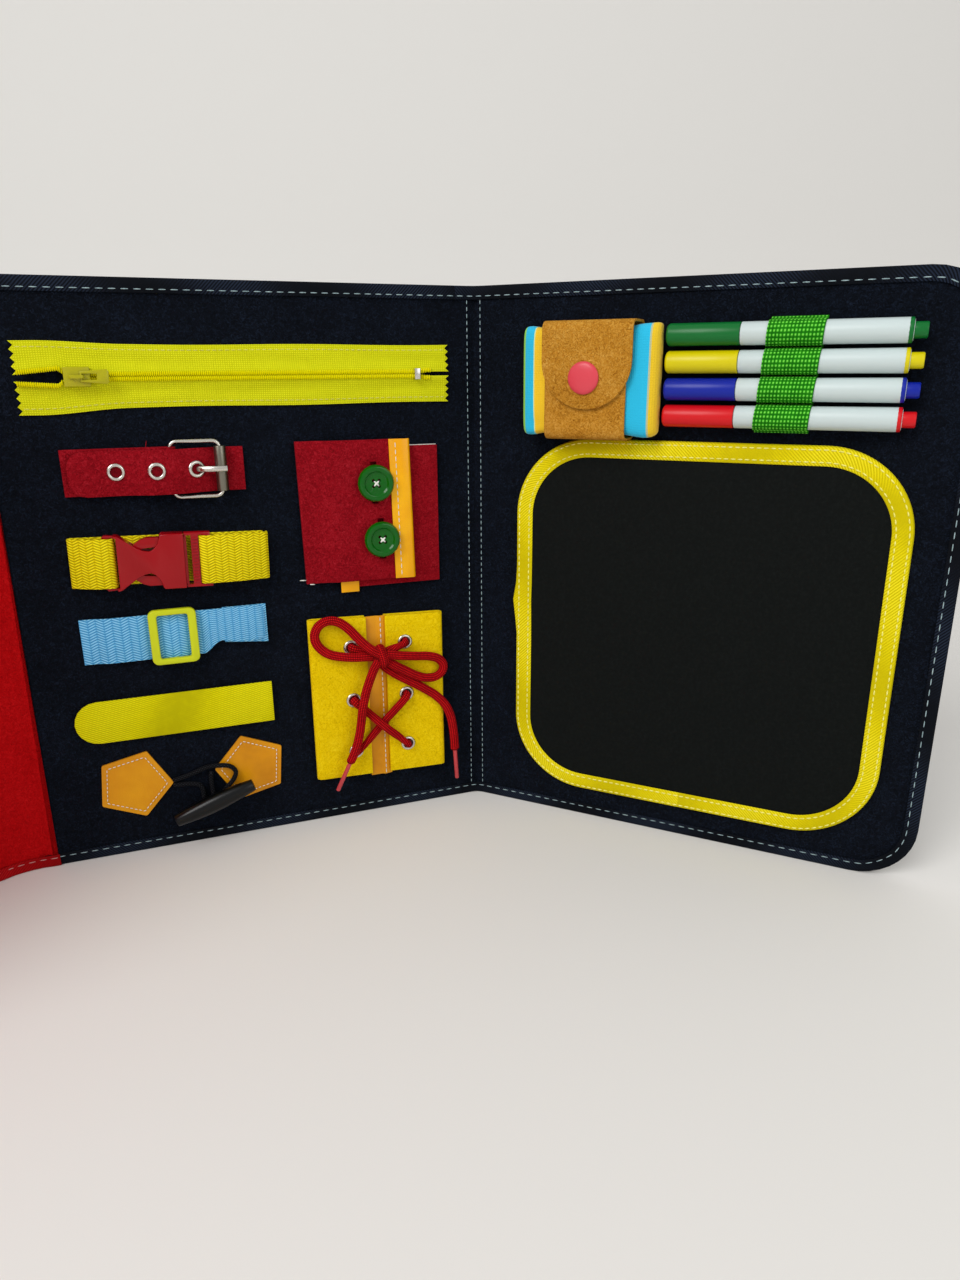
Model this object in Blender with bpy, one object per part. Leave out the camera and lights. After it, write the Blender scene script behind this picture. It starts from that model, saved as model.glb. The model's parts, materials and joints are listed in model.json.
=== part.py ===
"""Folding felt busy board.

Three stiffened felt pages stand on their bottom edges like an open book. The middle page carries sewn-on
fasteners, the right page a chalkboard, an eraser pad and four markers, and the red page is bare.

Metres, +Z up. Each page has its own frame: X along the page, the front face in the plane Y = 0, the front
toward -Y, and Z up from the bottom edge. The hinge axes run along Z in the plane of the front faces. Each
fastener has a frame of its own on its page, at its middle.
"""
import math

import bmesh
import bpy
from mathutils import Matrix, Vector

# Clearances and shared steps
GAP = 0.0003
OVERRUN = 0.002
ROUND_SIDES = 16
FINE_SIDES = 20
SMALL_SIDES = 12
ARC_STEPS = 5
TUBE_RESOLUTION = 2
SHARP_ANGLE = math.radians(40)
BEVEL_ANGLE = math.radians(50)
mitre_limit_share = 0.5

# Pages
PAGE_WIDTH = 0.250
PAGE_HEIGHT = 0.300
CORNER_RADIUS = 0.030
FELT = 0.0012
BOARD = 0.0020
BOARD_MARGIN = 0.009
HINGE_EDGE = 0.0037
PINCH_FLAT = 0.003
PINCH_RAMP = 0.004
BINDING_DEPTH = 0.007
BINDING_TAPE = 0.0007
BINDING_ROUND = 0.0014
BINDING_START = 0.0085
LEFT_TURN = math.radians(20.1)
RIGHT_TURN = math.radians(25.2)
RED_TURN = math.radians(45.0)

# Zip
ZIP_LENGTH = 0.2124
ZIP_TAPE_WIDTH = 0.0141
ZIP_TAPE = 0.0006
ZIP_PARTING = 0.0012
ZIP_PINK = 0.0016
ZIP_TEETH_PER_END = 4
zip_raised_share = 0.4
COIL_WIDTH = 0.0020
COIL_HEIGHT = 0.0016
coil_round_share = 0.3
SLIDER_LENGTH = 0.0115
SLIDER_PLATE = 0.0008
SLIDER_FLANGE = 0.0015
SLIDER_POST = 0.0027
SLIDER_FROM_END = 0.0274
BAIL_LENGTH = 0.0066
BAIL_WIRE = 0.0006
BAIL_WIDTH = 0.0016
PULL_BAR = 0.0009
PULL_LENGTH = 0.0122
PULL_WINDOW = 0.0064
PULL_NECK_WIDTH = 0.0048
PULL_END_WIDTH = 0.0068
STOP_LENGTH = 0.0037
STOP_FROM_END = 0.0165
STOP_WALL = 0.0006

# Belt with pin buckle
BELT_LENGTH = 0.086
BELT_WIDTH = 0.0227
BELT_FELT = 0.0014
TONGUE_TIP_INSET = 0.0025
TONGUE_TIP_RADIUS = 0.008
BUCKLE_WIRE = 0.0010
BUCKLE_SPAN = 0.024
BUCKLE_SIDE_CLEARANCE = 0.0015
BUCKLE_CORNER = 0.0035
ROLLER_INSET = 0.0115
ROLLER_RADIUS = 0.0026
PRONG_WIRE = 0.0008
WRAP_RETURN = 0.0085
WRAP_TAIL = 0.007
PRONG_SLOT = 0.0044
EYELET_BORE = 0.0026
EYELET_WALL = 0.0004
EYELET_FLANGE = 0.0042
EYELET_CROWN = 0.0009
EYELET_PITCH = 0.0190
THIRD_EYELET_FROM_PIVOT = 0.0120

# Side-release clip
CLIP_TILT = math.radians(1.5)
WEBBING = 0.0015
WEBBING_WIDTH = 0.025
CLIP_LEFT = 0.054
CLIP_RIGHT = 0.042
CLIP_FOLD = 0.0016
SOCKET_LENGTH = 0.0384
SOCKET_THICKNESS = 0.0084
CLIP_HALF_WIDTH = 0.0141
RAIL_CLEARANCE = 0.0003
MOUTH_LENGTH = 0.0104
MOUTH_WALL = 0.0016
SOCKET_BAR = 0.0041
SOCKET_BAR_HEIGHT = 0.0030
WEBBING_SLOT = 0.0024
SOCKET_WAIST = 0.0056
SOCKET_RIB = 0.0030
ARM_LENGTH = 0.0250
ARM_WIDTH = 0.0032
ARM_BULGE_INSET = 0.0002
PLUG_LENGTH = 0.0130
PLUG_WINDOW = 0.0022
LADDER_BAR = 0.0037
PLUG_END_BAR = 0.0039
LADDER_RIB = 0.0004
SHOULDER = 0.0010

# Strap adjuster
ADJUSTER_LEFT = 0.045
ADJUSTER_RIGHT = 0.047
ADJUSTER_WEBBING = 0.0012
ADJUSTER_WEBBING_WIDTH = 0.024
ADJUSTER_FRAME_WIDTH = 0.0252
ADJUSTER_SIDE_BAR = 0.0045
ADJUSTER_RAIL = 0.0032
ADJUSTER_THICKNESS = 0.0031
ADJUSTER_CENTRE_BAR = 0.0034
ADJUSTER_CENTRE_HEIGHT = 0.0018
ADJUSTER_CORNER = 0.0036
ADJUSTER_RAMP = 0.005
ADJUSTER_END_FLAT = 0.007

# Hook-and-loop strap
LOOP_LENGTH = 0.1024
LOOP_WIDTH = 0.0235
LOOP_STRAP = 0.0012
HOOK_PAD = 0.0010
HOOK_PAD_INSET = 0.006

# Toggle
PATCH_RADIUS = 0.0205
PATCH_LEATHER = 0.0012
PATCH_SPACING = 0.0628
PATCH_LEFT_TURN = math.radians(-6.0)
PATCH_RIGHT_TURN = math.radians(175.0)
TOGGLE_LENGTH = 0.0432
TOGGLE_RADIUS = 0.0040
TOGGLE_END_RADIUS = 0.0026
TOGGLE_DROP = 0.0145
TOGGLE_ASIDE = 0.0095
TOGGLE_TURN = math.radians(19.0)
ELASTIC = 0.0013
ELASTIC_STEP = 0.0065
PATCH_SIDES = 5
toggle_station_shares = (-0.85, -0.65, -0.4, -0.15, 0.15, 0.4, 0.65, 0.85)
# Routes of the elastic in the toggle's frame: X, what the cord lies on, Z
TOGGLE_LOOP_ROUTE = [
    (-0.0107, "page", -0.00065), (-0.0050, "page", 0.0006), (0, "page", 0.0020), (0.0060, "page", 0.0040),
    (0.0115, "patch", 0.0050), (0.0190, "patch", 0.0036), (0.0223, "patch", -0.0006),
    (0.0202, "patch", -0.0056), (0.0168, "patch", -0.0090), (0.0135, "page", -0.0135),
    (0.0105, "page", -0.0185), (0.0065, "page", -0.0195), (0.0040, "page", -0.0158),
    (0.0038, "page", -0.0105), (0.0025, "page", -0.0060), (-0.0030, "page", -0.0042),
    (-0.0107, "page", -0.00355),
]
TOGGLE_HOLDER_ROUTE = [
    (0.0090, "page", 0.0005), (0.0086, "page", -0.0040), (0.0088, "page", -0.0090),
    (0.0092, "patch", -0.0148),
]

# Buttoned flaps
FLAP_FELT = 0.0025
FLAP_HEIGHT = 0.0765
UPPER_FLAP_WIDTH = 0.0502
LOWER_FLAP_WIDTH = 0.0530
FLAPS_WIDTH = 0.0770
LOWER_FLAP_DROP = 0.0040
FLAP_ROOT = 0.012
FLAP_RAMP = 0.006
TRIM_WIDTH = 0.0115
TRIM_LEATHER = 0.0008
TRIM_OVERLAP = 0.0080
LOWER_TRIM_WIDTH = 0.0050
LOWER_TRIM_DROP = 0.0025
BUTTON_RADIUS = 0.0100
BUTTON_THICKNESS = 0.0032
BUTTON_DISH_RADIUS = 0.0060
BUTTON_DISH = 0.0012
BUTTON_HOLE = 0.0009
BUTTON_HOLE_CIRCLE = 0.0022
BUTTON_PITCH = 0.0308
BUTTON_FROM_EDGE = 0.0086
BUTTON_SHIFT = 0.0023
BUTTONHOLE_WIDTH = 0.0036
BUTTONHOLE_LENGTH = 0.0225

# Laced flaps
LACED_WIDTH = 0.0786
LACED_HEIGHT = 0.0970
LACED_FELT = 0.0018
LACED_HOLLOW = 0.0021
LACED_OPENING = 0.0090
LACE_EYELET_BORE = 0.0027
LACE_EYELET_FLANGE = 0.0040
LACE_EYELET_ROWS = 3
LACE_EYELET_PITCH = 0.0320
LACE_EYELET_SPACING = 0.0316
CENTRE_TRIM_DROP = 0.0020
LACE = 0.0022
LACE_STEP = 0.0055
LACE_SIDES = 8
crossing_share = 0.9
# The knot, as shares of the lace's radius: its core's section, then its wrap's lean, depth and height
knot_core_shares = ((0, -2), (1, -2), (1.7, -1.4), (2, 0), (1.7, 1.4), (1, 2), (0, 2))
knot_wrap_shares = (0.4, 1.5, 1.6)
LACE_TIP = 0.0013
LACE_TIP_LENGTH = 0.0200
# Routes of the lace in the lacing's frame: X, layers of lace above the flap, Z
KNOT_PLACE = (-0.0006, 0.9, 0.0272)
LEFT_LOOP_ROUTE = [
    (0.0010, 1.5, 0.0280), (-0.0050, 1.5, 0.0315), (-0.0092, 1.35, 0.0349), (-0.0135, 1.1, 0.0397),
    (-0.0176, 0.8, 0.0447), (-0.0226, 0.5, 0.0487), (-0.0276, 0.3, 0.0500), (-0.0327, 0.15, 0.0483),
    (-0.0359, 0.05, 0.0437), (-0.0359, 0, 0.0384), (-0.0329, 0.1, 0.0335), (-0.0280, 0.3, 0.0302),
    (-0.0214, 0.65, 0.0287), (-0.0148, 0.95, 0.0280), (-0.0087, 0.8, 0.0274), (-0.0030, 0.45, 0.0262),
    (0, 0.4, 0.0256),
]
RIGHT_LOOP_ROUTE = [
    (-0.0010, 1.5, 0.0285), (0.0049, 1.45, 0.0278), (0.0118, 1.2, 0.0262), (0.0203, 0.8, 0.0244),
    (0.0282, 0.4, 0.0229), (0.0345, 0.15, 0.0204), (0.0379, 0.05, 0.0162), (0.0370, 0, 0.0116),
    (0.0326, 0.05, 0.0090), (0.0262, 0.25, 0.0096), (0.0200, 0.5, 0.0124), (0.0138, 0.75, 0.0164),
    (0.0077, 1.0, 0.0205), (0.0031, 0.9, 0.0238), (-0.0005, 0.7, 0.0262),
]
LEFT_END_ROUTE = [
    (-0.0016, 1.2, 0.0265), (-0.0026, 1.2, 0.0236), (-0.0048, 1.15, 0.0199), (-0.0072, 1.05, 0.0139),
    (-0.0098, 1.1, 0.0071), (-0.0116, 1.3, 0.0009), (-0.0128, 1.3, -0.0045), (-0.0135, 1.0, -0.0118),
    (-0.0144, 0.8, -0.0182), (-0.0162, 0.9, -0.0246), (-0.0186, 0.9, -0.0309), (-0.0206, 0.75, -0.0355),
]
RIGHT_END_ROUTE = [
    (-0.0006, 0.3, 0.0245), (0.0020, 0.15, 0.0198), (0.0080, 0.1, 0.0146), (0.0141, 0.1, 0.0104),
    (0.0204, 0.05, 0.0063), (0.0266, 0, 0.0020), (0.0330, 0, -0.0029), (0.0386, 0, -0.0095),
    (0.0418, 0, -0.0167), (0.0433, 0, -0.0246), (0.0440, 0, -0.0316), (0.0444, 0, -0.0389),
]

# Eraser holder
PAD_FROM_SPINE = 0.0345
PAD_FROM_TOP = 0.0215
PAD_LENGTH = 0.0718
PAD_HEIGHT = 0.0545
PAD_THICKNESS = 0.0164
pad_drawn_in_share = 0.05
pad_end_share = 0.62
pad_middle_shares = (0, 0.35, 0.68)
pad_end_shares = (0.86, 0.93, 0.98, 1)
pad_shut_share = 0.35
PAD_SIDES = 24
pad_squareness_share = 0.45
HOLDER_WIDTH = 0.0484
HOLDER_FELT = 0.0012
pocket_height_share = 0.66
FLAP_REACH = 0.0420
SNAP_RADIUS = 0.0080
SNAP_THICKNESS = 0.0020
SNAP_POST = 0.0030
STUD_RADIUS = 0.0042
STUD_THICKNESS = 0.0006
SNAP_FROM_TOP = 0.0255

# Markers
MARKER_COUNT = 4
MARKERS_FROM_PAD = 0.0017
MARKERS_ABOVE_PAD = 0.0026
MARKER_PITCH = 0.0127
CAP_LENGTH = 0.0345
CAP_RADIUS = 0.0053
CAP_WALL = 0.0009
BARREL_LENGTH = 0.0735
BARREL_RADIUS = 0.0055
NECK_RADIUS = 0.0040
NECK_LENGTH = 0.0120
NIB_RADIUS = 0.0013
NIB_LENGTH = 0.0070
PLUG_RADIUS = 0.0034
MARKER_PLUG_LENGTH = 0.0055
LOOP_BAND = 0.0006
LOOP_BAND_WIDTH = 0.0250
LOOP_FROM_CAP = 0.0455

# Chalkboard
CHALKBOARD_FROM_SPINE = 0.0272
CHALKBOARD_FROM_EDGE = 0.0218
CHALKBOARD_FROM_BASE = 0.0180
CHALKBOARD_UNDER_HOLDER = 0.0005
CHALKBOARD_CORNER = 0.042
CHALKBOARD_SHEET = 0.0014
CHALKBOARD_TAPE = 0.0006
CHALKBOARD_BINDING = 0.0095
CHALKBOARD_ROUND = 0.0010

# Middles of the middle page's fasteners, as shares of its width and height
zip_place_shares = (-0.487, 0.851)
belt_place_shares = (-0.682, 0.701)
clip_place_shares = (-0.646, 0.550)
adjuster_place_shares = (-0.684, 0.415)
loop_place_shares = (-0.696, 0.267)
toggle_place_shares = (-0.676, 0.137)
buttons_place_shares = (-0.247, 0.612)
laced_place_shares = (-0.248, 0.251)

# Values worked out from the sizes above
PAGE_BACK = 2 * FELT + 2 * GAP + BOARD
PAGE_EDGE = BINDING_TAPE + GAP
PAD_MIDDLE = (PAD_FROM_SPINE + PAD_LENGTH / 2, PAGE_HEIGHT - PAD_FROM_TOP - PAD_HEIGHT / 2)
HOLDER_BASE = PAD_MIDDLE[1] - PAD_HEIGHT / 2 - GAP - HOLDER_FELT
RIGHT_ANGLE = math.pi / 2

COLOURS = {
    "navy_felt": (0.008, 0.011, 0.022, 0.95, 0.0),
    "red_felt": (0.33, 0.004, 0.006, 0.95, 0.0),
    "grey_board": (0.35, 0.33, 0.30, 0.9, 0.0),
    "lemon_zip": (0.62, 0.68, 0.012, 0.7, 0.0),
    "olive_enamel": (0.50, 0.48, 0.015, 0.35, 0.3),
    "steel": (0.62, 0.60, 0.56, 0.28, 1.0),
    "crimson_felt": (0.28, 0.006, 0.012, 0.95, 0.0),
    "yellow_webbing": (0.68, 0.52, 0.0, 0.8, 0.0),
    "red_plastic": (0.55, 0.006, 0.016, 0.35, 0.0),
    "sky_webbing": (0.19, 0.54, 0.78, 0.8, 0.0),
    "lime_plastic": (0.68, 0.72, 0.02, 0.4, 0.0),
    "yellow_strap": (0.67, 0.60, 0.0, 0.85, 0.0),
    "mustard_leather": (0.60, 0.30, 0.01, 0.45, 0.0),
    "black_elastic": (0.010, 0.010, 0.012, 0.8, 0.0),
    "black_plastic": (0.018, 0.022, 0.024, 0.35, 0.0),
    "yellow_trim": (0.85, 0.50, 0.0, 0.3, 0.0),
    "green_plastic": (0.0, 0.20, 0.004, 0.3, 0.0),
    "yellow_felt": (0.78, 0.58, 0.0, 0.95, 0.0),
    "red_lace": (0.68, 0.006, 0.010, 0.75, 0.0),
    "pink_tip": (0.60, 0.06, 0.07, 0.3, 0.0),
    "striped_cloth": (0.05, 0.60, 0.78, 0.9, 0.0),
    "brown_felt": (0.37, 0.14, 0.012, 0.95, 0.0),
    "pink_plastic": (0.75, 0.05, 0.08, 0.25, 0.0),
    "green_elastic": (0.07, 0.48, 0.012, 0.85, 0.0),
    "white_plastic": (0.80, 0.80, 0.80, 0.3, 0.0),
    "cap_green": (0.0, 0.22, 0.05, 0.3, 0.0),
    "cap_yellow": (0.80, 0.72, 0.02, 0.3, 0.0),
    "cap_blue": (0.02, 0.05, 0.62, 0.3, 0.0),
    "cap_red": (0.72, 0.01, 0.02, 0.3, 0.0),
    "chalkboard": (0.007, 0.008, 0.008, 0.6, 0.0),
    "yellow_binding": (0.60, 0.53, 0.004, 0.5, 0.0),
}


def clear_scene():
    for found in list(bpy.data.objects):
        bpy.data.objects.remove(found, do_unlink=True)


def material(name):
    red, green, blue, roughness, metallic = COLOURS[name]
    made = bpy.data.materials.new(name)
    made.use_nodes = True
    shader = made.node_tree.nodes["Principled BSDF"]
    shader.inputs["Base Color"].default_value = (red, green, blue, 1.0)
    shader.inputs["Roughness"].default_value = roughness
    shader.inputs["Metallic"].default_value = metallic
    made.diffuse_color = (red, green, blue, 1.0)
    return made


def frame(name, parent, at=(0, 0, 0), turn=0.0, tilt=0.0):
    """An empty that carries pieces. turn is about Z, tilt about the page's normal."""
    holder = under_frame(name, None, parent)
    holder.location = at
    holder.rotation_euler = (0, tilt, turn)
    return holder


def place_on(page, name, shares, tilt=0.0):
    """A fastener's frame on the front face of its page."""
    across, up = shares
    return frame(name, page, (across * PAGE_WIDTH, 0, up * PAGE_HEIGHT), tilt=tilt)


def under_frame(name, data, parent):
    made = bpy.data.objects.new(name, data)
    bpy.context.collection.objects.link(made)
    made.parent = parent
    return made


def mesh_of(name, bm):
    """A mesh from a bmesh, with every face pointing out."""
    bmesh.ops.recalc_face_normals(bm, faces=bm.faces)
    mesh = bpy.data.meshes.new(name)
    bm.to_mesh(mesh)
    bm.free()
    return mesh


def add(name, bm, parent, colour):
    """A named piece under its frame."""
    mesh = mesh_of(name, bm)
    mesh.materials.append(material(colour))
    mesh.shade_smooth()
    mesh.set_sharp_from_angle(angle=SHARP_ANGLE)
    return under_frame(name, mesh, parent)


def guide(name, bm, parent):
    """A solid that only shapes another one: a cutter, or a lump that is fused on."""
    made = under_frame(name, mesh_of(name, bm), parent)
    made.hide_render = True
    made.display_type = "WIRE"
    return made


def boolean(target, tool, operation):
    step = target.modifiers.new(tool.name, "BOOLEAN")
    step.operation = operation
    step.object = tool
    step.solver = "EXACT"


def fuse(target, name, bm, parent):
    boolean(target, guide(name, bm, parent), "UNION")


def cut(target, name, bm, parent):
    boolean(target, guide(name, bm, parent), "DIFFERENCE")


def solid_between(bm, loops, low, high):
    """A solid between two copies of a flat outline with holes. low and high place an outline point."""
    caps = []
    for place in (low, high):
        caps.append([[bm.verts.new(place(u, v)) for u, v in loop] for loop in loops])
    for lower, upper in zip(*caps):
        for i in range(len(lower)):
            bm.faces.new((lower[i - 1], lower[i], upper[i], upper[i - 1]))
    for cap in caps:
        edges = [bm.edges.get((loop[i - 1], loop[i])) for loop in cap for i in range(len(loop))]
        bmesh.ops.triangle_fill(bm, edges=edges, use_beauty=True)


def plate(bm, loops, front, back):
    """Outlines in X and Z, solid from Y = front to Y = back."""
    solid_between(bm, loops, lambda x, z: (x, front, z), lambda x, z: (x, back, z))


def strip(bm, loops, low, high):
    """Outlines in X and Y, solid from Z = low to Z = high."""
    solid_between(bm, loops, lambda x, y: (x, y, low), lambda x, y: (x, y, high))


def bar(bm, loops, left, right):
    """Outlines in Y and Z, solid from X = left to X = right."""
    solid_between(bm, loops, lambda y, z: (left, y, z), lambda y, z: (right, y, z))


def rectangle(left, right, low, high):
    return [(left, low), (right, low), (right, high), (left, high)]


def arc(middle, radius, start, end, steps):
    """Points on an arc. Angles run from the first axis toward the second."""
    points = []
    for i in range(steps + 1):
        angle = start + (end - start) * i / steps
        points.append((middle[0] + radius * math.cos(angle), middle[1] + radius * math.sin(angle)))
    return points


def rounded(half_width, half_height, radius, steps=ARC_STEPS):
    """A rounded rectangle round the origin."""
    across = half_width - radius
    up = half_height - radius
    points = []
    for quarter, middle in enumerate(((across, up), (-across, up), (-across, -up), (across, -up))):
        points += arc(middle, radius, quarter * RIGHT_ANGLE, (quarter + 1) * RIGHT_ANGLE, steps)
    return points


def circle(middle, radius, sides):
    return arc(middle, radius, 0, 2 * math.pi * (sides - 1) / sides, sides - 1)


def mirrored(points):
    """Adds the mirror image of an upper half outline below the first axis."""
    return points + [(u, -v) for u, v in reversed(points)]


def ribbon(points, thickness):
    """Outline of a folded strap that follows a centre line."""
    left = []
    right = []
    for i, point in enumerate(points):
        before = Vector(points[max(i - 1, 0)])
        after = Vector(points[min(i + 1, len(points) - 1)])
        here = Vector(point)
        into = (here - before).normalized() if i else (after - here).normalized()
        out = (after - here).normalized() if i < len(points) - 1 else into
        along = (into + out).normalized()
        side = Vector((-along.y, along.x))
        reach = thickness / 2 / max(side.dot(Vector((-into.y, into.x))), mitre_limit_share)
        left.append(tuple(here + side * reach))
        right.append(tuple(here - side * reach))
    return left + right[::-1]


def sheet(bm, columns, thickness, place):
    """A bent sheet from columns of (position, back, low, high). place turns them into a point."""
    rings = []
    for position, back, low, high in columns:
        corners = ((back, low), (back, high), (back - thickness, high), (back - thickness, low))
        rings.append([bm.verts.new(place(position, depth, end)) for depth, end in corners])
    for before, after in zip(rings, rings[1:]):
        for i in range(4):
            bm.faces.new((before[i - 1], before[i], after[i], after[i - 1]))
    bm.faces.new(rings[0])
    bm.faces.new(rings[-1])


def upright(x, y, z):
    return (x, y, z)


def lying(z, y, x):
    return (x, y, z)


def turned(bm, profile, sides, matrix=Matrix.Identity(4), ring=False):
    """A turned solid from (radius, height) points about Z. A ring profile closes on itself."""
    rows = []
    for radius, height in profile:
        if radius == 0:
            rows.append([bm.verts.new(matrix @ Vector((0, 0, height)))])
            continue
        row = []
        for i in range(sides):
            angle = 2 * math.pi * i / sides
            point = Vector((radius * math.cos(angle), radius * math.sin(angle), height))
            row.append(bm.verts.new(matrix @ point))
        rows.append(row)
    pairs = list(zip(rows, rows[1:]))
    if ring:
        pairs.append((rows[-1], rows[0]))
    for lower, upper in pairs:
        for i in range(sides):
            if len(lower) == 1:
                bm.faces.new((lower[0], upper[i], upper[i - 1]))
            elif len(upper) == 1:
                bm.faces.new((upper[0], lower[i - 1], lower[i]))
            else:
                bm.faces.new((lower[i - 1], lower[i], upper[i], upper[i - 1]))


def facing(axis, at=(0, 0, 0)):
    """Turns Z onto an axis and moves to a point."""
    turn = Vector((0, 0, 1)).rotation_difference(Vector(axis)).to_matrix().to_4x4()
    return Matrix.Translation(at) @ turn


def tube(bm, points, radius, sides, closed=False):
    """A wire of round section along a list of points."""
    path = [Vector(point) for point in points]
    count = len(path)
    rings = []
    side = None
    for i, here in enumerate(path):
        before = path[i - 1] if closed or i else here
        after = path[(i + 1) % count] if closed or i < count - 1 else here
        along = (after - before).normalized()
        if side is None:
            side = along.orthogonal().normalized()
        side = (side - along * side.dot(along)).normalized()
        other = along.cross(side)
        ring = []
        for k in range(sides):
            angle = 2 * math.pi * k / sides
            ring.append(bm.verts.new(here + radius * (math.cos(angle) * side + math.sin(angle) * other)))
        rings.append(ring)
    pairs = list(zip(rings, rings[1:]))
    for first, second in pairs:
        for k in range(sides):
            bm.faces.new((first[k - 1], first[k], second[k], second[k - 1]))
    if not closed:
        bm.faces.new(rings[0])
        bm.faces.new(rings[-1])
        return
    first, second = rings[-1], rings[0]
    turn = min(range(sides), key=lambda shift: (second[shift].co - first[0].co).length)
    for k in range(sides):
        bm.faces.new((first[k - 1], first[k], second[(k + turn) % sides], second[(k - 1 + turn) % sides]))


def sweep(bm, path, profile, closed=False):
    """A tape folded over an edge: path holds edge points and their inward directions, profile depth and Y."""
    rings = []
    for (x, z), (inward_x, inward_z) in path:
        rings.append([bm.verts.new((x + inward_x * depth, y, z + inward_z * depth)) for depth, y in profile])
    pairs = list(zip(rings, rings[1:]))
    if closed:
        pairs.append((rings[-1], rings[0]))
    for first, second in pairs:
        for k in range(len(profile)):
            bm.faces.new((first[k - 1], first[k], second[k], second[k - 1]))
    if not closed:
        bm.faces.new(rings[0])
        bm.faces.new(rings[-1])


def edge_arc(middle, radius, start, end, steps=ARC_STEPS):
    """Edge points of a rounded corner with their inward directions."""
    path = []
    for i in range(steps + 1):
        angle = start + (end - start) * i / steps
        out = (math.cos(angle), math.sin(angle))
        path.append(((middle[0] + radius * out[0], middle[1] + radius * out[1]), (-out[0], -out[1])))
    return path


def folded_tape(front, back, depth, tape, round_off):
    """Section of a tape that wraps an edge lying between Y = front and Y = back."""
    soft = round_off / 3
    return [
        (depth, front - GAP - tape), (round_off, front - GAP - tape),
        (soft, front - GAP - tape + soft), (0, front - GAP - tape + round_off),
        (0, back + GAP + tape - round_off), (soft, back + GAP + tape - soft),
        (round_off, back + GAP + tape), (depth, back + GAP + tape),
        (depth, back + GAP), (tape, back + GAP), (tape, front - GAP), (depth, front - GAP),
    ]


def curve_tube(name, route, radius, step, parent, colour):
    """A cord: a smooth tube through the route points, as a curve object."""
    data = bpy.data.curves.new(name, "CURVE")
    data.dimensions = "3D"
    data.bevel_depth = radius
    data.bevel_resolution = TUBE_RESOLUTION
    data.use_fill_caps = True
    points = smooth_route(route, step)
    spline = data.splines.new("POLY")
    spline.points.add(len(points) - 1)
    for target, point in zip(spline.points, points):
        target.co = (*point, 1)
    data.materials.append(material(colour))
    return under_frame(name, data, parent)


def smooth_route(route, step):
    """Points along a Catmull-Rom curve through the route, about one step apart."""
    knots = [Vector(point) for point in route]
    knots = [2 * knots[0] - knots[1]] + knots + [2 * knots[-1] - knots[-2]]
    points = []
    for a, b, c, d in zip(knots, knots[1:], knots[2:], knots[3:]):
        pieces = max(1, round((c - b).length / step))
        for i in range(pieces):
            t = i / pieces
            bend = (2 * a - 5 * b + 4 * c - d) * t * t + (3 * b - a - 3 * c + d) * t ** 3
            points.append((2 * b + (c - a) * t + bend) / 2)
    points.append(knots[-2])
    return points


# Pages

def page_columns(inner, outer, low, high, radius, back_at):
    """Columns of a sheet with a straight hinge side and two rounded outer corners."""
    positions = [inner, inner + PINCH_FLAT, inner + PINCH_FLAT + PINCH_RAMP]
    columns = [(x, back_at(x), low, high) for x in positions]
    for i in range(ARC_STEPS + 1):
        angle = RIGHT_ANGLE * i / ARC_STEPS
        x = outer - radius + radius * math.sin(angle)
        drop = radius * (1 - math.cos(angle))
        columns.append((x, back_at(x), low + drop, high - drop))
    return columns


def back_sheet_depth(from_hinge):
    """Back face of the back felt sheet, which is sewn down onto the front sheet beside the hinge."""
    drawn_in = BOARD + 3 * GAP
    share = (from_hinge - HINGE_EDGE - PINCH_FLAT) / PINCH_RAMP
    return PAGE_BACK - drawn_in * (1 - min(max(share, 0), 1))


def outer_page(name, page, side, felt, binding_felt):
    """A page with one hinge side. side is 1 when it runs toward +X and -1 toward -X."""
    def place(x, y, z):
        return (side * x, y, z)

    low, high = PAGE_EDGE, PAGE_HEIGHT - PAGE_EDGE
    outer = PAGE_WIDTH - PAGE_EDGE
    radius = CORNER_RADIUS - PAGE_EDGE
    front_sheet = bmesh.new()
    sheet(front_sheet, page_columns(HINGE_EDGE, outer, low, high, radius, lambda x: FELT), FELT, place)
    cover = add(name + "_felt", front_sheet, page, felt)
    back_sheet = bmesh.new()
    sheet(back_sheet, page_columns(HINGE_EDGE, outer, low, high, radius, back_sheet_depth), FELT, place)
    fuse(cover, name + "_back_sheet", back_sheet, page)

    board_start = HINGE_EDGE + PINCH_FLAT + PINCH_RAMP
    columns = []
    for i in range(ARC_STEPS + 1):
        angle = RIGHT_ANGLE * i / ARC_STEPS
        board_radius = CORNER_RADIUS - BOARD_MARGIN
        drop = board_radius * (1 - math.cos(angle))
        x = PAGE_WIDTH - BOARD_MARGIN - board_radius + board_radius * math.sin(angle)
        columns.append((x, FELT + GAP + BOARD, BOARD_MARGIN + drop, PAGE_HEIGHT - BOARD_MARGIN - drop))
    columns.insert(0, (board_start, FELT + GAP + BOARD, BOARD_MARGIN, PAGE_HEIGHT - BOARD_MARGIN))
    core = bmesh.new()
    sheet(core, columns, BOARD, place)
    add(name + "_board", core, page, "grey_board")

    path = [((BINDING_START, 0), (0, 1))]
    path += edge_arc((PAGE_WIDTH - CORNER_RADIUS, CORNER_RADIUS), CORNER_RADIUS, -RIGHT_ANGLE, 0)
    path += edge_arc((PAGE_WIDTH - CORNER_RADIUS, PAGE_HEIGHT - CORNER_RADIUS), CORNER_RADIUS, 0, RIGHT_ANGLE)
    path.append(((BINDING_START, PAGE_HEIGHT), (0, -1)))
    path = [((side * x, z), (side * inward_x, inward_z)) for (x, z), (inward_x, inward_z) in path]
    tape = bmesh.new()
    sweep(tape, path, folded_tape(0, PAGE_BACK, BINDING_DEPTH, BINDING_TAPE, BINDING_ROUND))
    add(name + "_binding", tape, page, binding_felt)


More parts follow.
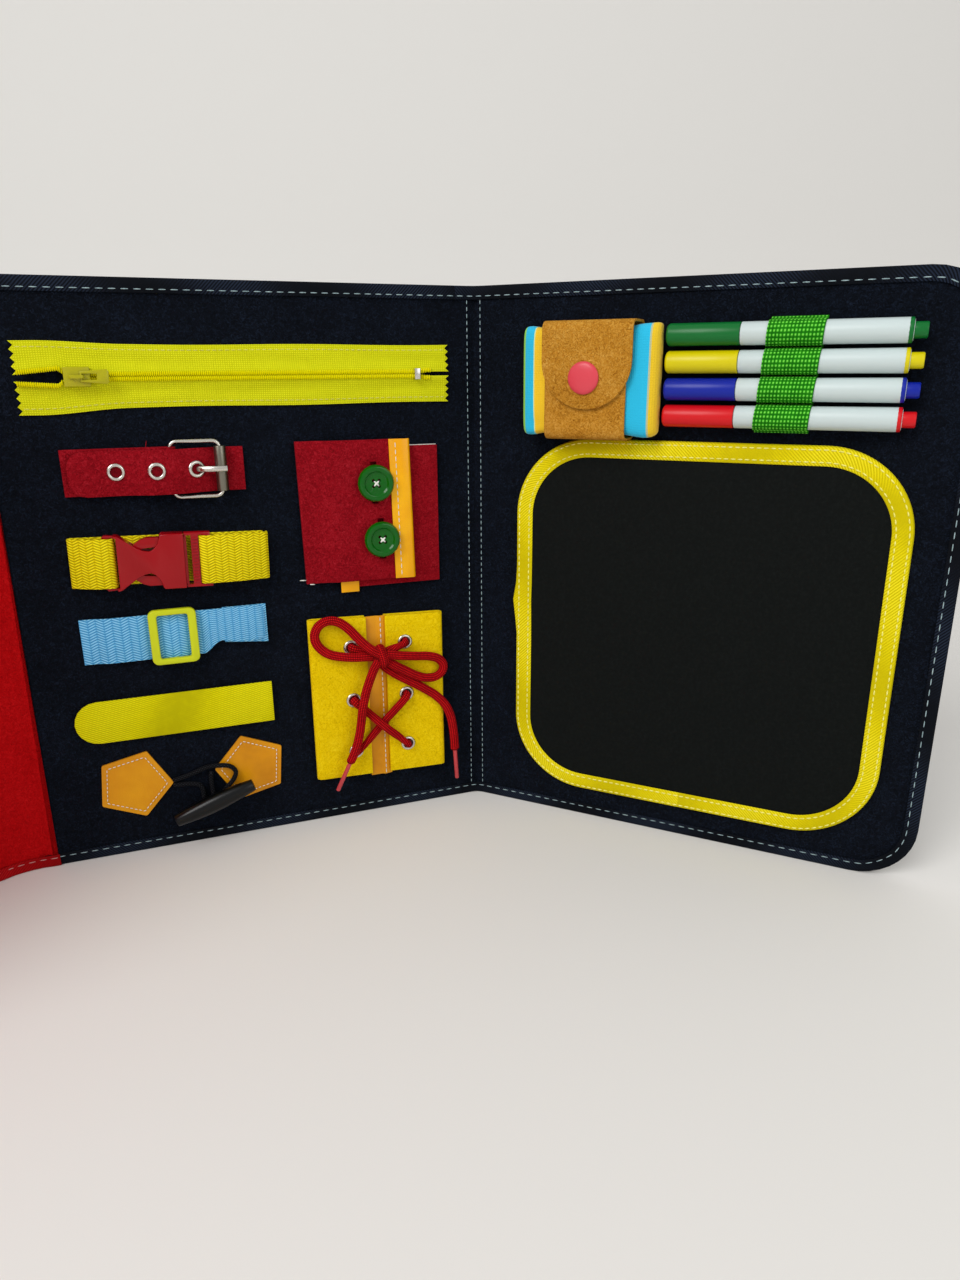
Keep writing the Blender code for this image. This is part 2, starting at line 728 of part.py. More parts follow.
def middle_page(page):
    """The page between the spine and the fold. Its frame's origin is the spine."""
    low, high = PAGE_EDGE, PAGE_HEIGHT - PAGE_EDGE
    half = PAGE_WIDTH / 2
    half_positions = [HINGE_EDGE, HINGE_EDGE + PINCH_FLAT, HINGE_EDGE + PINCH_FLAT + PINCH_RAMP, half]
    positions = [-PAGE_WIDTH + x for x in half_positions] + [-x for x in reversed(half_positions[:-1])]
    front_sheet = bmesh.new()
    sheet(front_sheet, [(x, FELT, low, high) for x in positions], FELT, upright)
    cover = add("left_page_felt", front_sheet, page, "navy_felt")
    columns = [(x, back_sheet_depth(min(-x, PAGE_WIDTH + x)), low, high) for x in positions]
    back_sheet = bmesh.new()
    sheet(back_sheet, columns, FELT, upright)
    fuse(cover, "left_page_back_sheet", back_sheet, page)
    hinge_channel(cover, "spine_channel", page, 0, -(LEFT_TURN + RIGHT_TURN) / 2, -1)
    hinge_channel(cover, "fold_channel", page, -PAGE_WIDTH, RED_TURN / 2, 1)

    core = bmesh.new()
    start = HINGE_EDGE + PINCH_FLAT + PINCH_RAMP
    outline = rectangle(-PAGE_WIDTH + start, -start, BOARD_MARGIN, PAGE_HEIGHT - BOARD_MARGIN)
    plate(core, [outline], FELT + GAP, FELT + GAP + BOARD)
    add("left_page_board", core, page, "grey_board")

    profile = folded_tape(0, PAGE_BACK, BINDING_DEPTH, BINDING_TAPE, BINDING_ROUND)
    for name, height, inward in (("bottom", 0, 1), ("top", PAGE_HEIGHT, -1)):
        ends = [((x, height), (0, inward)) for x in (-PAGE_WIDTH + BINDING_START, -BINDING_START)]
        tape = bmesh.new()
        sweep(tape, ends, profile)
        add("left_page_binding_" + name, tape, page, "navy_felt")


def hinge_channel(cover, name, page, x, turn, side):
    """The cover's soft stitched channel: a half round behind a hinge axis, and its seam to the page."""
    radius = HINGE_EDGE - GAP
    low, high = PAGE_EDGE + GAP, PAGE_HEIGHT - PAGE_EDGE - GAP
    bead = bmesh.new()
    strip(bead, [arc((x, 0), radius, turn, turn + math.pi, 2 * ARC_STEPS)], low, high)
    fuse(cover, name, bead, page)
    seam = bmesh.new()
    ends = sorted((x + side * (HINGE_EDGE - FELT), x + side * (HINGE_EDGE + 2 * GAP)))
    strip(seam, [rectangle(ends[0], ends[1], GAP, 2 * FELT - 2 * GAP)], low + GAP, high - GAP)
    fuse(cover, name + "_seam", seam, page)


# Zip

def zip_fastener(page):
    base = place_on(page, "zip_frame", zip_place_shares)
    half = ZIP_LENGTH / 2
    lift = GAP + SLIDER_PLATE + GAP
    raised = ZIP_PARTING / 2 + zip_raised_share * ZIP_TAPE_WIDTH

    coil_back = -(lift + ZIP_TAPE + GAP)
    coil_front = coil_back - COIL_HEIGHT
    soft = coil_round_share * COIL_WIDTH
    stop_left = half - STOP_FROM_END
    for name, side in (("zip_half_upper", 1), ("zip_half_lower", -1)):
        columns = []
        steps = 2 * ZIP_TEETH_PER_END
        for i in range(steps + 1):
            across = ZIP_PARTING / 2 + ZIP_TAPE_WIDTH * i / steps
            cut_back = ZIP_PINK if i % 2 else 0
            back = -lift if across < raised else -GAP
            columns.append((side * across, back, -half + cut_back, half - cut_back))
        tape = bmesh.new()
        sheet(tape, columns, ZIP_TAPE, lying)
        made = add(name, tape, base, "lemon_zip")
        near = side * (ZIP_PARTING / 2 + GAP / 2)
        far = side * (ZIP_PARTING / 2 + COIL_WIDTH)
        seat = -lift - ZIP_TAPE / 2
        outline = [
            (seat, near), (coil_front + soft, near), (coil_front, near + side * soft),
            (coil_front, far - side * soft), (coil_front + soft, far), (seat, far)]
        coil = bmesh.new()
        bar(coil, [outline], -half + 2 * ZIP_PINK, half - 2 * ZIP_PINK)
        fuse(made, name + "_coil", coil, base)

    inner_wall = ZIP_PARTING / 2 + COIL_WIDTH + GAP
    stop = bmesh.new()
    lid = coil_front - GAP
    outline = [
        (coil_back, inner_wall), (lid, inner_wall), (lid, -inner_wall), (coil_back, -inner_wall),
        (coil_back, -inner_wall - STOP_WALL), (lid - STOP_WALL, -inner_wall - STOP_WALL),
        (lid - STOP_WALL, inner_wall + STOP_WALL), (coil_back, inner_wall + STOP_WALL)]
    bar(stop, [outline], stop_left, stop_left + STOP_LENGTH)
    add("zip_stop", stop, base, "steel")

    # The slider: a lower plate under the tapes, a channel over the coil, a post between the halves, a bail
    slider_axis = frame("zip_slide_frame", base, (-half + SLIDER_FROM_END, 0, 0))
    half_length = SLIDER_LENGTH / 2
    outer_wall = inner_wall + SLIDER_FLANGE
    top = lid - SLIDER_PLATE
    body = bmesh.new()
    channel = [
        (coil_back, inner_wall), (lid, inner_wall), (lid, -inner_wall), (coil_back, -inner_wall),
        (coil_back, -outer_wall), (top, -outer_wall), (top, outer_wall), (coil_back, outer_wall)]
    bar(body, [channel], -half_length, half_length)
    slider = add("zip_slider", body, slider_axis, "olive_enamel")
    post = bmesh.new()
    post_half = ZIP_PARTING / 2 - GAP
    plate(post, [rectangle(-half_length + GAP, -half_length + SLIDER_POST, -post_half, post_half)],
          lid - SLIDER_PLATE / 2, -GAP - SLIDER_PLATE / 2)
    fuse(slider, "zip_slider_post", post, slider_axis)
    lower = bmesh.new()
    plate(lower, [rounded(half_length, outer_wall, SLIDER_FLANGE)], -GAP - SLIDER_PLATE, -GAP)
    fuse(slider, "zip_slider_plate", lower, slider_axis)
    bail_top = top - 2 * GAP - PULL_BAR - BAIL_WIRE
    bail_half = BAIL_LENGTH / 2
    inside = bail_half - BAIL_WIRE
    foot = top + SLIDER_PLATE / 2
    arch = [
        (-bail_half, foot), (-bail_half, bail_top + BAIL_WIRE), (-inside, bail_top), (inside, bail_top),
        (bail_half, bail_top + BAIL_WIRE), (bail_half, foot), (inside, foot), (inside, bail_top + BAIL_WIRE),
        (-inside, bail_top + BAIL_WIRE), (-inside, foot)]
    bail = bmesh.new()
    strip(bail, [arch], -BAIL_WIDTH / 2, BAIL_WIDTH / 2)
    fuse(slider, "zip_slider_bail", bail, slider_axis)

    # The pull: its bar lies under the bail and its window clears the bail when it swings over
    bar_x = inside - GAP - PULL_BAR / 2
    pull_axis = frame("zip_pull_frame", slider_axis, (bar_x, top - GAP - PULL_BAR / 2, 0))
    window_half = BAIL_WIDTH / 2 + 2 * GAP
    window = rectangle(PULL_BAR / 2, PULL_BAR / 2 + PULL_WINDOW, -window_half, window_half)
    tab = [
        (-PULL_BAR / 2, -PULL_NECK_WIDTH / 2), (PULL_LENGTH - PULL_BAR, -PULL_END_WIDTH / 2),
        (PULL_LENGTH, -PULL_END_WIDTH / 2 + PULL_BAR), (PULL_LENGTH, PULL_END_WIDTH / 2 - PULL_BAR),
        (PULL_LENGTH - PULL_BAR, PULL_END_WIDTH / 2), (-PULL_BAR / 2, PULL_NECK_WIDTH / 2)]
    pull = bmesh.new()
    plate(pull, [tab, window], -PULL_BAR / 2, PULL_BAR / 2)
    add("zip_pull", pull, pull_axis, "olive_enamel")


# Belt with pin buckle

def set_eyelet(strap, name, parent, bore, flange, depth, matrix):
    """Sets a rolled eyelet in a strap: a barrel clenched in the felt, and a flange on its front."""
    reach = depth + OVERRUN
    middle = bore + EYELET_WALL / 2
    hole = bmesh.new()
    turned(hole, [(0, -reach), (middle, -reach), (middle, OVERRUN), (0, OVERRUN)], SMALL_SIDES, matrix)
    cut(strap, name + "_hole", hole, parent)
    wall = bore + EYELET_WALL
    crown = (bore + flange) / 2
    ring = bmesh.new()
    turned(ring, [
        (bore, -depth - EYELET_WALL / 2), (bore, EYELET_CROWN / 2),
        (bore + EYELET_WALL, EYELET_CROWN - EYELET_WALL / 4), (crown, EYELET_CROWN),
        (flange - EYELET_WALL, EYELET_CROWN - EYELET_WALL / 2), (flange, -EYELET_WALL / 2),
        (wall, -EYELET_WALL), (wall, -depth - EYELET_WALL / 2)], SMALL_SIDES, matrix, ring=True)
    fuse(strap, name, ring, parent)


def belt(page):
    base = place_on(page, "belt_frame", belt_place_shares)
    half = BELT_LENGTH / 2
    half_width = BELT_WIDTH / 2
    roller_x = half - ROLLER_INSET
    pivot_x = roller_x - BUCKLE_SPAN
    pivot_y = -(2 * GAP + BUCKLE_WIRE + 2 * PRONG_WIRE)
    roller_y = -(2 * GAP + BELT_FELT + ROLLER_RADIUS)

    # Base strap: flat on the page, round the pivot bar and back over itself
    low = -GAP - BELT_FELT / 2
    wrap = -pivot_y + low
    top = pivot_y - wrap
    resting = low - BELT_FELT - GAP
    centre_line = [(-half, low)] + arc((pivot_x, pivot_y), wrap, RIGHT_ANGLE, -RIGHT_ANGLE, 2 * ARC_STEPS)
    centre_line += [
        (pivot_x - WRAP_RETURN, top), (pivot_x - WRAP_RETURN - ROLLER_RADIUS - BUCKLE_WIRE, resting),
        (pivot_x - WRAP_RETURN - WRAP_TAIL, resting)]
    folded = bmesh.new()
    strip(folded, [ribbon(centre_line, BELT_FELT)], -half_width, half_width)
    base_strap = add("belt_base", folded, base, "crimson_felt")
    slot = bmesh.new()
    slot_half = PRONG_SLOT / 2
    plate(slot, [rectangle(pivot_x - WRAP_RETURN / 2, pivot_x + wrap + BELT_FELT, -slot_half, slot_half)],
          top - BELT_FELT - OVERRUN, OVERRUN)
    cut(base_strap, "belt_slot", slot, base)

    # Tongue strap: under the roller, up over the wrap, and down to its rounded tip
    tongue_low = resting + BELT_FELT / 2
    tongue_top = top - BELT_FELT / 2 - GAP
    page_level = -GAP
    slope_start = pivot_x + wrap
    slope_end = roller_x - ROLLER_RADIUS - 2 * BUCKLE_WIRE
    ramp_top = pivot_x - WRAP_RETURN - ROLLER_RADIUS
    ramp_bottom = ramp_top - WRAP_RETURN

    def tongue_back(x):
        if x <= ramp_bottom:
            return tongue_low
        if x <= ramp_top:
            return tongue_low + (tongue_top - tongue_low) * (x - ramp_bottom) / (ramp_top - ramp_bottom)
        if x <= slope_start:
            return tongue_top
        share = min((x - slope_start) / (slope_end - slope_start), 1)
        return tongue_top + (page_level - tongue_top) * share

    tip = -half + TONGUE_TIP_INSET
    columns = []
    for i in range(ARC_STEPS + 1):
        angle = RIGHT_ANGLE * i / ARC_STEPS
        x = tip + TONGUE_TIP_RADIUS * (1 - math.cos(angle))
        end = half_width - TONGUE_TIP_RADIUS * (1 - math.sin(angle))
        columns.append((x, tongue_back(x), -end, end))
    for x in (ramp_bottom, ramp_top, slope_start, slope_end, half):
        columns.append((x, tongue_back(x), -half_width, half_width))
    strap = bmesh.new()
    sheet(strap, columns, BELT_FELT, upright)
    tongue = add("belt_strap", strap, base, "crimson_felt")

    third = pivot_x + THIRD_EYELET_FROM_PIVOT
    for index in range(3):
        x = third - index * EYELET_PITCH
        step = BUCKLE_WIRE
        rise = (tongue_back(x + step) - tongue_back(x - step)) / (2 * step)
        normal = Vector((rise, -1, 0)).normalized()
        front = (x, tongue_back(x) - BELT_FELT, 0)
        set_eyelet(tongue, "belt_eyelet_%d" % (index + 1), base, EYELET_BORE, EYELET_FLANGE, BELT_FELT,
                   facing(normal, front))

    # Buckle frame: a wire rectangle whose plane rises from the pivot bar to the roller bar
    rail = half_width + BUCKLE_SIDE_CLEARANCE + BUCKLE_WIRE
    wire = bmesh.new()
    loop = []
    for x, z in rounded(BUCKLE_SPAN / 2, rail, BUCKLE_CORNER):
        share = x / BUCKLE_SPAN + 1 / 2
        loop.append((pivot_x + share * BUCKLE_SPAN, pivot_y + share * (roller_y - pivot_y), z))
    tube(wire, loop, BUCKLE_WIRE, ROUND_SIDES // 2, closed=True)
    add("buckle_frame", wire, base, "steel")

    roller_axis = frame("buckle_roller_frame", base, (roller_x, roller_y, 0))
    sleeve = bmesh.new()
    roller_half = rail - BUCKLE_CORNER - GAP
    bore = BUCKLE_WIRE + GAP
    turned(sleeve, [(bore, -roller_half), (ROLLER_RADIUS, -roller_half), (ROLLER_RADIUS, roller_half),
                    (bore, roller_half)], ROUND_SIDES, ring=True)
    add("buckle_roller", sleeve, roller_axis, "steel")

    # Prong: an eye round the pivot bar, a shank up through the third eyelet, its end on the roller
    prong_axis = frame("buckle_prong_frame", base, (pivot_x, pivot_y, 0))
    eye = BUCKLE_WIRE + GAP + PRONG_WIRE
    route = [(x, y, 0) for x, y in arc((0, 0), eye, math.radians(200), 0, 2 * ARC_STEPS)]
    hole_x = third - pivot_x
    rest_y = roller_y - ROLLER_RADIUS - GAP - PRONG_WIRE - pivot_y
    under = -pivot_y - 2 * GAP - BELT_FELT - PRONG_WIRE / 4
    route += [
        (eye + PRONG_WIRE, -eye / 4, 0), (hole_x - EYELET_BORE, under, 0),
        (hole_x - PRONG_WIRE, under - PRONG_WIRE / 2, 0),
        (hole_x + PRONG_WIRE, under - EYELET_BORE, 0), (hole_x + EYELET_FLANGE, rest_y + EYELET_BORE / 2, 0),
        (BUCKLE_SPAN - ROLLER_RADIUS, rest_y, 0), (BUCKLE_SPAN + ROLLER_RADIUS, rest_y, 0)]
    pin = bmesh.new()
    tube(pin, route, PRONG_WIRE, ROUND_SIDES // 2)
    add("buckle_prong", pin, prong_axis, "steel")


# Side-release clip

def side_release_clip(page):
    base = place_on(page, "clip_frame", clip_place_shares, tilt=CLIP_TILT)
    half_webbing = WEBBING_WIDTH / 2
    layer = GAP + WEBBING
    socket_back = -layer - GAP
    socket_front = socket_back - SOCKET_THICKNESS
    middle = (socket_back + socket_front) / 2
    slot_half = half_webbing + RAIL_CLEARANCE
    bar_left = -SOCKET_LENGTH
    bar_right = bar_left + SOCKET_BAR
    body_left = bar_right + WEBBING_SLOT
    bar_half = SOCKET_BAR_HEIGHT / 2
    cavity_half = SOCKET_THICKNESS / 2 - MOUTH_WALL
    plug_half = cavity_half - GAP
    mouth_inner = CLIP_HALF_WIDTH - MOUTH_WALL

    # Webbing behind the clip, folded forward at the left and wrapped round the socket's bar
    rear = -GAP - WEBBING / 2
    around = bar_half + GAP + WEBBING / 2
    wrap_right = bar_right + GAP + WEBBING / 2
    centre_line = [(CLIP_RIGHT - CLIP_FOLD, rear)]
    left_fold = (-CLIP_LEFT + CLIP_FOLD, rear - CLIP_FOLD)
    centre_line += arc(left_fold, CLIP_FOLD, RIGHT_ANGLE, 3 * RIGHT_ANGLE, ARC_STEPS)
    centre_line += [(bar_left - WEBBING, middle - around)]
    centre_line += arc((wrap_right - around, middle), around, -RIGHT_ANGLE, RIGHT_ANGLE, 2 * ARC_STEPS)
    centre_line += [(bar_left - 3 * WEBBING, middle + around)]
    web = bmesh.new()
    strip(web, [ribbon(centre_line, WEBBING)], -half_webbing, half_webbing)
    add("clip_webbing", web, base, "yellow_webbing")

    # Socket: a frame with the webbing bar, and a waisted hollow body open at both sides for the arms
    waist_x = -MOUTH_LENGTH - (ARM_LENGTH - MOUTH_LENGTH) / 2
    shoulder_x = -MOUTH_LENGTH - SHOULDER
    wing_x = body_left + SHOULDER
    upper = [
        (body_left - WEBBING_SLOT / 2, CLIP_HALF_WIDTH), (wing_x, CLIP_HALF_WIDTH - SHOULDER / 2),
        (wing_x + 2 * SHOULDER, CLIP_HALF_WIDTH - 2 * SHOULDER),
        (waist_x - 5 * SHOULDER, SOCKET_WAIST + 2 * SHOULDER),
        (waist_x - 2 * SHOULDER, SOCKET_WAIST + SHOULDER / 2),
        (waist_x + SHOULDER, SOCKET_WAIST), (waist_x + 3 * SHOULDER, SOCKET_WAIST + SHOULDER),
        (shoulder_x - SHOULDER, SOCKET_WAIST + 4 * SHOULDER), (shoulder_x, CLIP_HALF_WIDTH - SHOULDER),
        (-MOUTH_LENGTH, CLIP_HALF_WIDTH), (0, CLIP_HALF_WIDTH)]
    body = bmesh.new()
    plate(body, [mirrored(upper)], socket_front, socket_back)
    socket = add("clip_socket", body, base, "red_plastic")
    soft = socket.modifiers.new("soft_edges", "BEVEL")
    soft.width = SHOULDER / 2
    soft.segments = 2
    soft.limit_method = "ANGLE"
    soft.angle_limit = BEVEL_ANGLE
    slot = bmesh.new()
    plate(slot, [rectangle(bar_right, body_left, -slot_half, slot_half)],
          socket_front - OVERRUN, socket_back + OVERRUN)
    cut(socket, "clip_socket_slot", slot, base)
    wings = bmesh.new()
    for side in (-1, 1):
        outer, inner = side * CLIP_HALF_WIDTH, side * slot_half
        outline = [
            (bar_left + bar_half, inner), (bar_left, inner), (bar_left, outer - side * SHOULDER),
            (bar_left + SHOULDER, outer), (wing_x, outer - side * SHOULDER / 2), (wing_x, inner)]
        plate(wings, [outline], middle - bar_half, middle + bar_half)
    fuse(socket, "clip_socket_wings", wings, base)
    web_bar = bmesh.new()
    outline = arc((bar_right - bar_half, middle), bar_half, -RIGHT_ANGLE, RIGHT_ANGLE, ARC_STEPS)
    outline += arc((bar_left + bar_half, middle), bar_half, RIGHT_ANGLE, 3 * RIGHT_ANGLE, ARC_STEPS)
    strip(web_bar, [outline], -slot_half - SHOULDER / 2, slot_half + SHOULDER / 2)
    fuse(socket, "clip_socket_bar", web_bar, base)
    arm_room = -ARM_LENGTH - SHOULDER
    hollow = bmesh.new()
    outline = mirrored([
        (arm_room, CLIP_HALF_WIDTH), (-MOUTH_LENGTH, CLIP_HALF_WIDTH + OVERRUN), (-MOUTH_LENGTH, mouth_inner),
        (OVERRUN, mouth_inner)])
    rib = rectangle(arm_room + SHOULDER, -MOUTH_LENGTH, -SOCKET_RIB, SOCKET_RIB)
    plate(hollow, [outline, rib], middle - cavity_half, middle + cavity_half)
    cut(socket, "clip_socket_hollow", hollow, base)

    # Plug: two spring arms, a shoulder bar, and a frame with the ladder bar and the end bar
    plug_axis = frame("clip_plug_frame", base, (0, middle, 0))
    bulge = mouth_inner - ARM_BULGE_INSET
    root = mouth_inner - GAP
    inner = bulge - ARM_WIDTH - 2 * SHOULDER
    upper = [
        (-SOCKET_BAR, inner), (-MOUTH_LENGTH - 2 * SHOULDER, inner + SHOULDER / 2),
        (waist_x - SHOULDER, inner), (-ARM_LENGTH + SHOULDER, inner - SHOULDER), (-ARM_LENGTH, inner),
        (-ARM_LENGTH + SHOULDER, inner + 2 * SHOULDER), (waist_x - 3 * SHOULDER, bulge - SHOULDER),
        (waist_x, bulge), (shoulder_x - SHOULDER / 2, bulge),
        (-MOUTH_LENGTH - SHOULDER / 2, inner + ARM_WIDTH),
        (-SOCKET_BAR, inner + ARM_WIDTH), (-SOCKET_BAR + SHOULDER, root), (GAP, root), (GAP, CLIP_HALF_WIDTH),
        (PLUG_LENGTH, CLIP_HALF_WIDTH)]
    window_left = GAP + SHOULDER
    ladder_left = window_left + PLUG_WINDOW
    slot_left = ladder_left + LADDER_BAR
    end_left = PLUG_LENGTH - PLUG_END_BAR
    window = rectangle(window_left, ladder_left, -slot_half, slot_half)
    web_slot = rectangle(slot_left, end_left, -slot_half, slot_half)
    body = bmesh.new()
    plate(body, [mirrored(upper), window, web_slot], -plug_half, plug_half)
    plug = add("clip_plug", body, plug_axis, "red_plastic")
    ribs = bmesh.new()
    rib_pitch = 4 * LADDER_RIB
    count = int(2 * slot_half / rib_pitch) - 1
    for i in range(count):
        z = (i - (count - 1) / 2) * rib_pitch
        rib = rectangle(ladder_left + LADDER_RIB, slot_left - LADDER_RIB, z - LADDER_RIB, z + LADDER_RIB)
        plate(ribs, [rib], -plug_half - LADDER_RIB, -plug_half + LADDER_RIB)
    fuse(plug, "clip_plug_ribs", ribs, plug_axis)

    # Webbing of the plug: round the end bar and back to the fold at the right
    around = plug_half + GAP + WEBBING / 2
    left_turn = end_left - GAP - WEBBING / 2
    corner = around - CLIP_FOLD
    fold_x = left_turn + CLIP_FOLD
    drop = -middle + rear - WEBBING - GAP
    centre_line = [(slot_left + 2 * CLIP_FOLD + PLUG_LENGTH, around)]
    centre_line += arc((fold_x, corner), CLIP_FOLD, RIGHT_ANGLE, 2 * RIGHT_ANGLE, 3)
    centre_line += arc((fold_x, -corner), CLIP_FOLD, 2 * RIGHT_ANGLE, 3 * RIGHT_ANGLE, 3)
    centre_line += [(PLUG_LENGTH, -around), (CLIP_RIGHT - 3 * CLIP_FOLD, drop - 2 * CLIP_FOLD)]
    end_fold = (CLIP_RIGHT - CLIP_FOLD, drop - CLIP_FOLD / 2)
    centre_line += arc(end_fold, CLIP_FOLD, -RIGHT_ANGLE, RIGHT_ANGLE / 3, ARC_STEPS)
    web = bmesh.new()
    strip(web, [ribbon(centre_line, WEBBING)], -half_webbing, half_webbing)
    add("clip_webbing_right", web, plug_axis, "yellow_webbing")


# Strap adjuster

def strap_adjuster(page):
    base = place_on(page, "adjuster_frame", adjuster_place_shares)
    half_webbing = ADJUSTER_WEBBING_WIDTH / 2
    raised = -(GAP + ADJUSTER_CENTRE_HEIGHT + GAP)
    left, right = -ADJUSTER_LEFT, ADJUSTER_RIGHT
    stations = [
        (left, -GAP), (left + ADJUSTER_END_FLAT, -GAP), (left + ADJUSTER_END_FLAT + ADJUSTER_RAMP, raised),
        (right - ADJUSTER_END_FLAT - ADJUSTER_RAMP, raised), (right - ADJUSTER_END_FLAT, -GAP), (right, -GAP)]
    web = bmesh.new()
    sheet(web, [(x, back, -half_webbing, half_webbing) for x, back in stations], ADJUSTER_WEBBING, upright)
    add("adjuster_webbing", web, base, "sky_webbing")

    slide_axis = frame("adjuster_slide_frame", base)
    window_half = half_webbing + RAIL_CLEARANCE + GAP
    outer_half = window_half + ADJUSTER_RAIL
    across = ADJUSTER_FRAME_WIDTH / 2
    back = raised - ADJUSTER_WEBBING - GAP
    front = back - ADJUSTER_THICKNESS
    ring = bmesh.new()
    outlines = [
        rounded(across, outer_half, ADJUSTER_CORNER),
        rounded(across - ADJUSTER_SIDE_BAR, window_half, ADJUSTER_CORNER / 3)]
    plate(ring, outlines, front, back)
    slide = add("adjuster_slide", ring, slide_axis, "lime_plastic")
    cradle = bmesh.new()
    bar_front = raised + GAP
    cradle_half = outer_half - ADJUSTER_CORNER / 2
    rail_middle = back - ADJUSTER_THICKNESS / 2
    outline = [
        (-GAP, -cradle_half), (-GAP, cradle_half), (rail_middle, cradle_half), (rail_middle, window_half),
        (bar_front, window_half), (bar_front, -window_half), (rail_middle, -window_half),
        (rail_middle, -cradle_half)]
    bar(cradle, [outline], -ADJUSTER_CENTRE_BAR / 2, ADJUSTER_CENTRE_BAR / 2)
    fuse(slide, "adjuster_cradle", cradle, slide_axis)


# Hook-and-loop strap

def hook_and_loop(page):
    base = place_on(page, "loop_frame", loop_place_shares)
    half = LOOP_LENGTH / 2
    half_width = LOOP_WIDTH / 2
    pad = bmesh.new()
    inset = HOOK_PAD_INSET
    outline = [(half - inset, -half_width + GAP), (half - inset, half_width - GAP)]
    end_middle = (-half + half_width, 0)
    outline += arc(end_middle, half_width - inset / 2, RIGHT_ANGLE, 3 * RIGHT_ANGLE, 2 * ARC_STEPS)
    plate(pad, [outline], -GAP - HOOK_PAD, -GAP)
    add("hook_pad", pad, base, "yellow_strap")

    peel_axis = frame("loop_strap_frame", base, (half, -2 * GAP - HOOK_PAD, 0))
    outline = [(0, -half_width), (0, half_width)]
    outline += arc((-LOOP_LENGTH + half_width, 0), half_width, RIGHT_ANGLE, 3 * RIGHT_ANGLE, 2 * ARC_STEPS)
    top = bmesh.new()
    plate(top, [outline], -LOOP_STRAP, 0)
    add("loop_strap", top, peel_axis, "yellow_strap")


# Toggle

def toggle(page):
    base = place_on(page, "toggle_frame", toggle_place_shares)
    for name, side, turn in (("left", -1, PATCH_LEFT_TURN), ("right", 1, PATCH_RIGHT_TURN)):
        middle = (side * PATCH_SPACING / 2, 0)
        last = turn + 2 * math.pi * (PATCH_SIDES - 1) / PATCH_SIDES
        patch = bmesh.new()
        plate(patch, [arc(middle, PATCH_RADIUS, turn, last, PATCH_SIDES - 1)], -GAP - PATCH_LEATHER, -GAP)
        add("toggle_patch_" + name, patch, base, "mustard_leather")

    lying_at = -GAP - ELASTIC
    over_patch = lying_at - PATCH_LEATHER - GAP
    barrel_y = over_patch - ELASTIC - GAP - TOGGLE_RADIUS
    axis = frame("toggle_barrel_frame", base, (TOGGLE_ASIDE, barrel_y, -TOGGLE_DROP))
    half = TOGGLE_LENGTH / 2
    body = bmesh.new()
    profile = [(0, -half), (TOGGLE_END_RADIUS, -half)]
    for share in toggle_station_shares:
        swell = (TOGGLE_RADIUS - TOGGLE_END_RADIUS) * math.cos(RIGHT_ANGLE * share)
        profile.append((TOGGLE_END_RADIUS + swell, half * share))
    profile += [(TOGGLE_END_RADIUS, half), (0, half)]
    turned(body, profile, ROUND_SIDES, facing((math.cos(TOGGLE_TURN), 0, math.sin(TOGGLE_TURN))))
    add("toggle_barrel", body, axis, "black_plastic")

    depth = {"page": lying_at, "patch": over_patch}
    for name, route in (("toggle_loop", TOGGLE_LOOP_ROUTE), ("toggle_holder", TOGGLE_HOLDER_ROUTE)):
        points = [(x, depth[on], z) for x, on, z in route]
        curve_tube(name, points, ELASTIC, ELASTIC_STEP, base, "black_elastic")


# Buttoned flaps

def button(name, parent, at):
    axis = frame(name + "_frame", parent, at)
    body = bmesh.new()
    rim = BUTTON_THICKNESS / 4
    profile = [
        (0, 0), (BUTTON_RADIUS - 2 * rim, 0), (BUTTON_RADIUS, rim), (BUTTON_RADIUS, 2 * rim),
        (BUTTON_RADIUS - rim, BUTTON_THICKNESS - rim / 3), (BUTTON_RADIUS - 2 * rim, BUTTON_THICKNESS),
        (BUTTON_DISH_RADIUS + rim, BUTTON_THICKNESS - rim / 3),
        (BUTTON_DISH_RADIUS, BUTTON_THICKNESS - BUTTON_DISH), (0, BUTTON_THICKNESS - BUTTON_DISH)]
    turned(body, profile, FINE_SIDES, facing((0, -1, 0)))
    made = add(name, body, axis, "green_plastic")
    holes = bmesh.new()
    for corner in range(4):
        angle = RIGHT_ANGLE * (corner + 1 / 2)
        middle = (BUTTON_HOLE_CIRCLE * math.cos(angle), BUTTON_HOLE_CIRCLE * math.sin(angle))
        plate(holes, [circle(middle, BUTTON_HOLE, ROUND_SIDES // 2)], -BUTTON_THICKNESS - OVERRUN, OVERRUN)
    cut(made, name + "_holes", holes, axis)


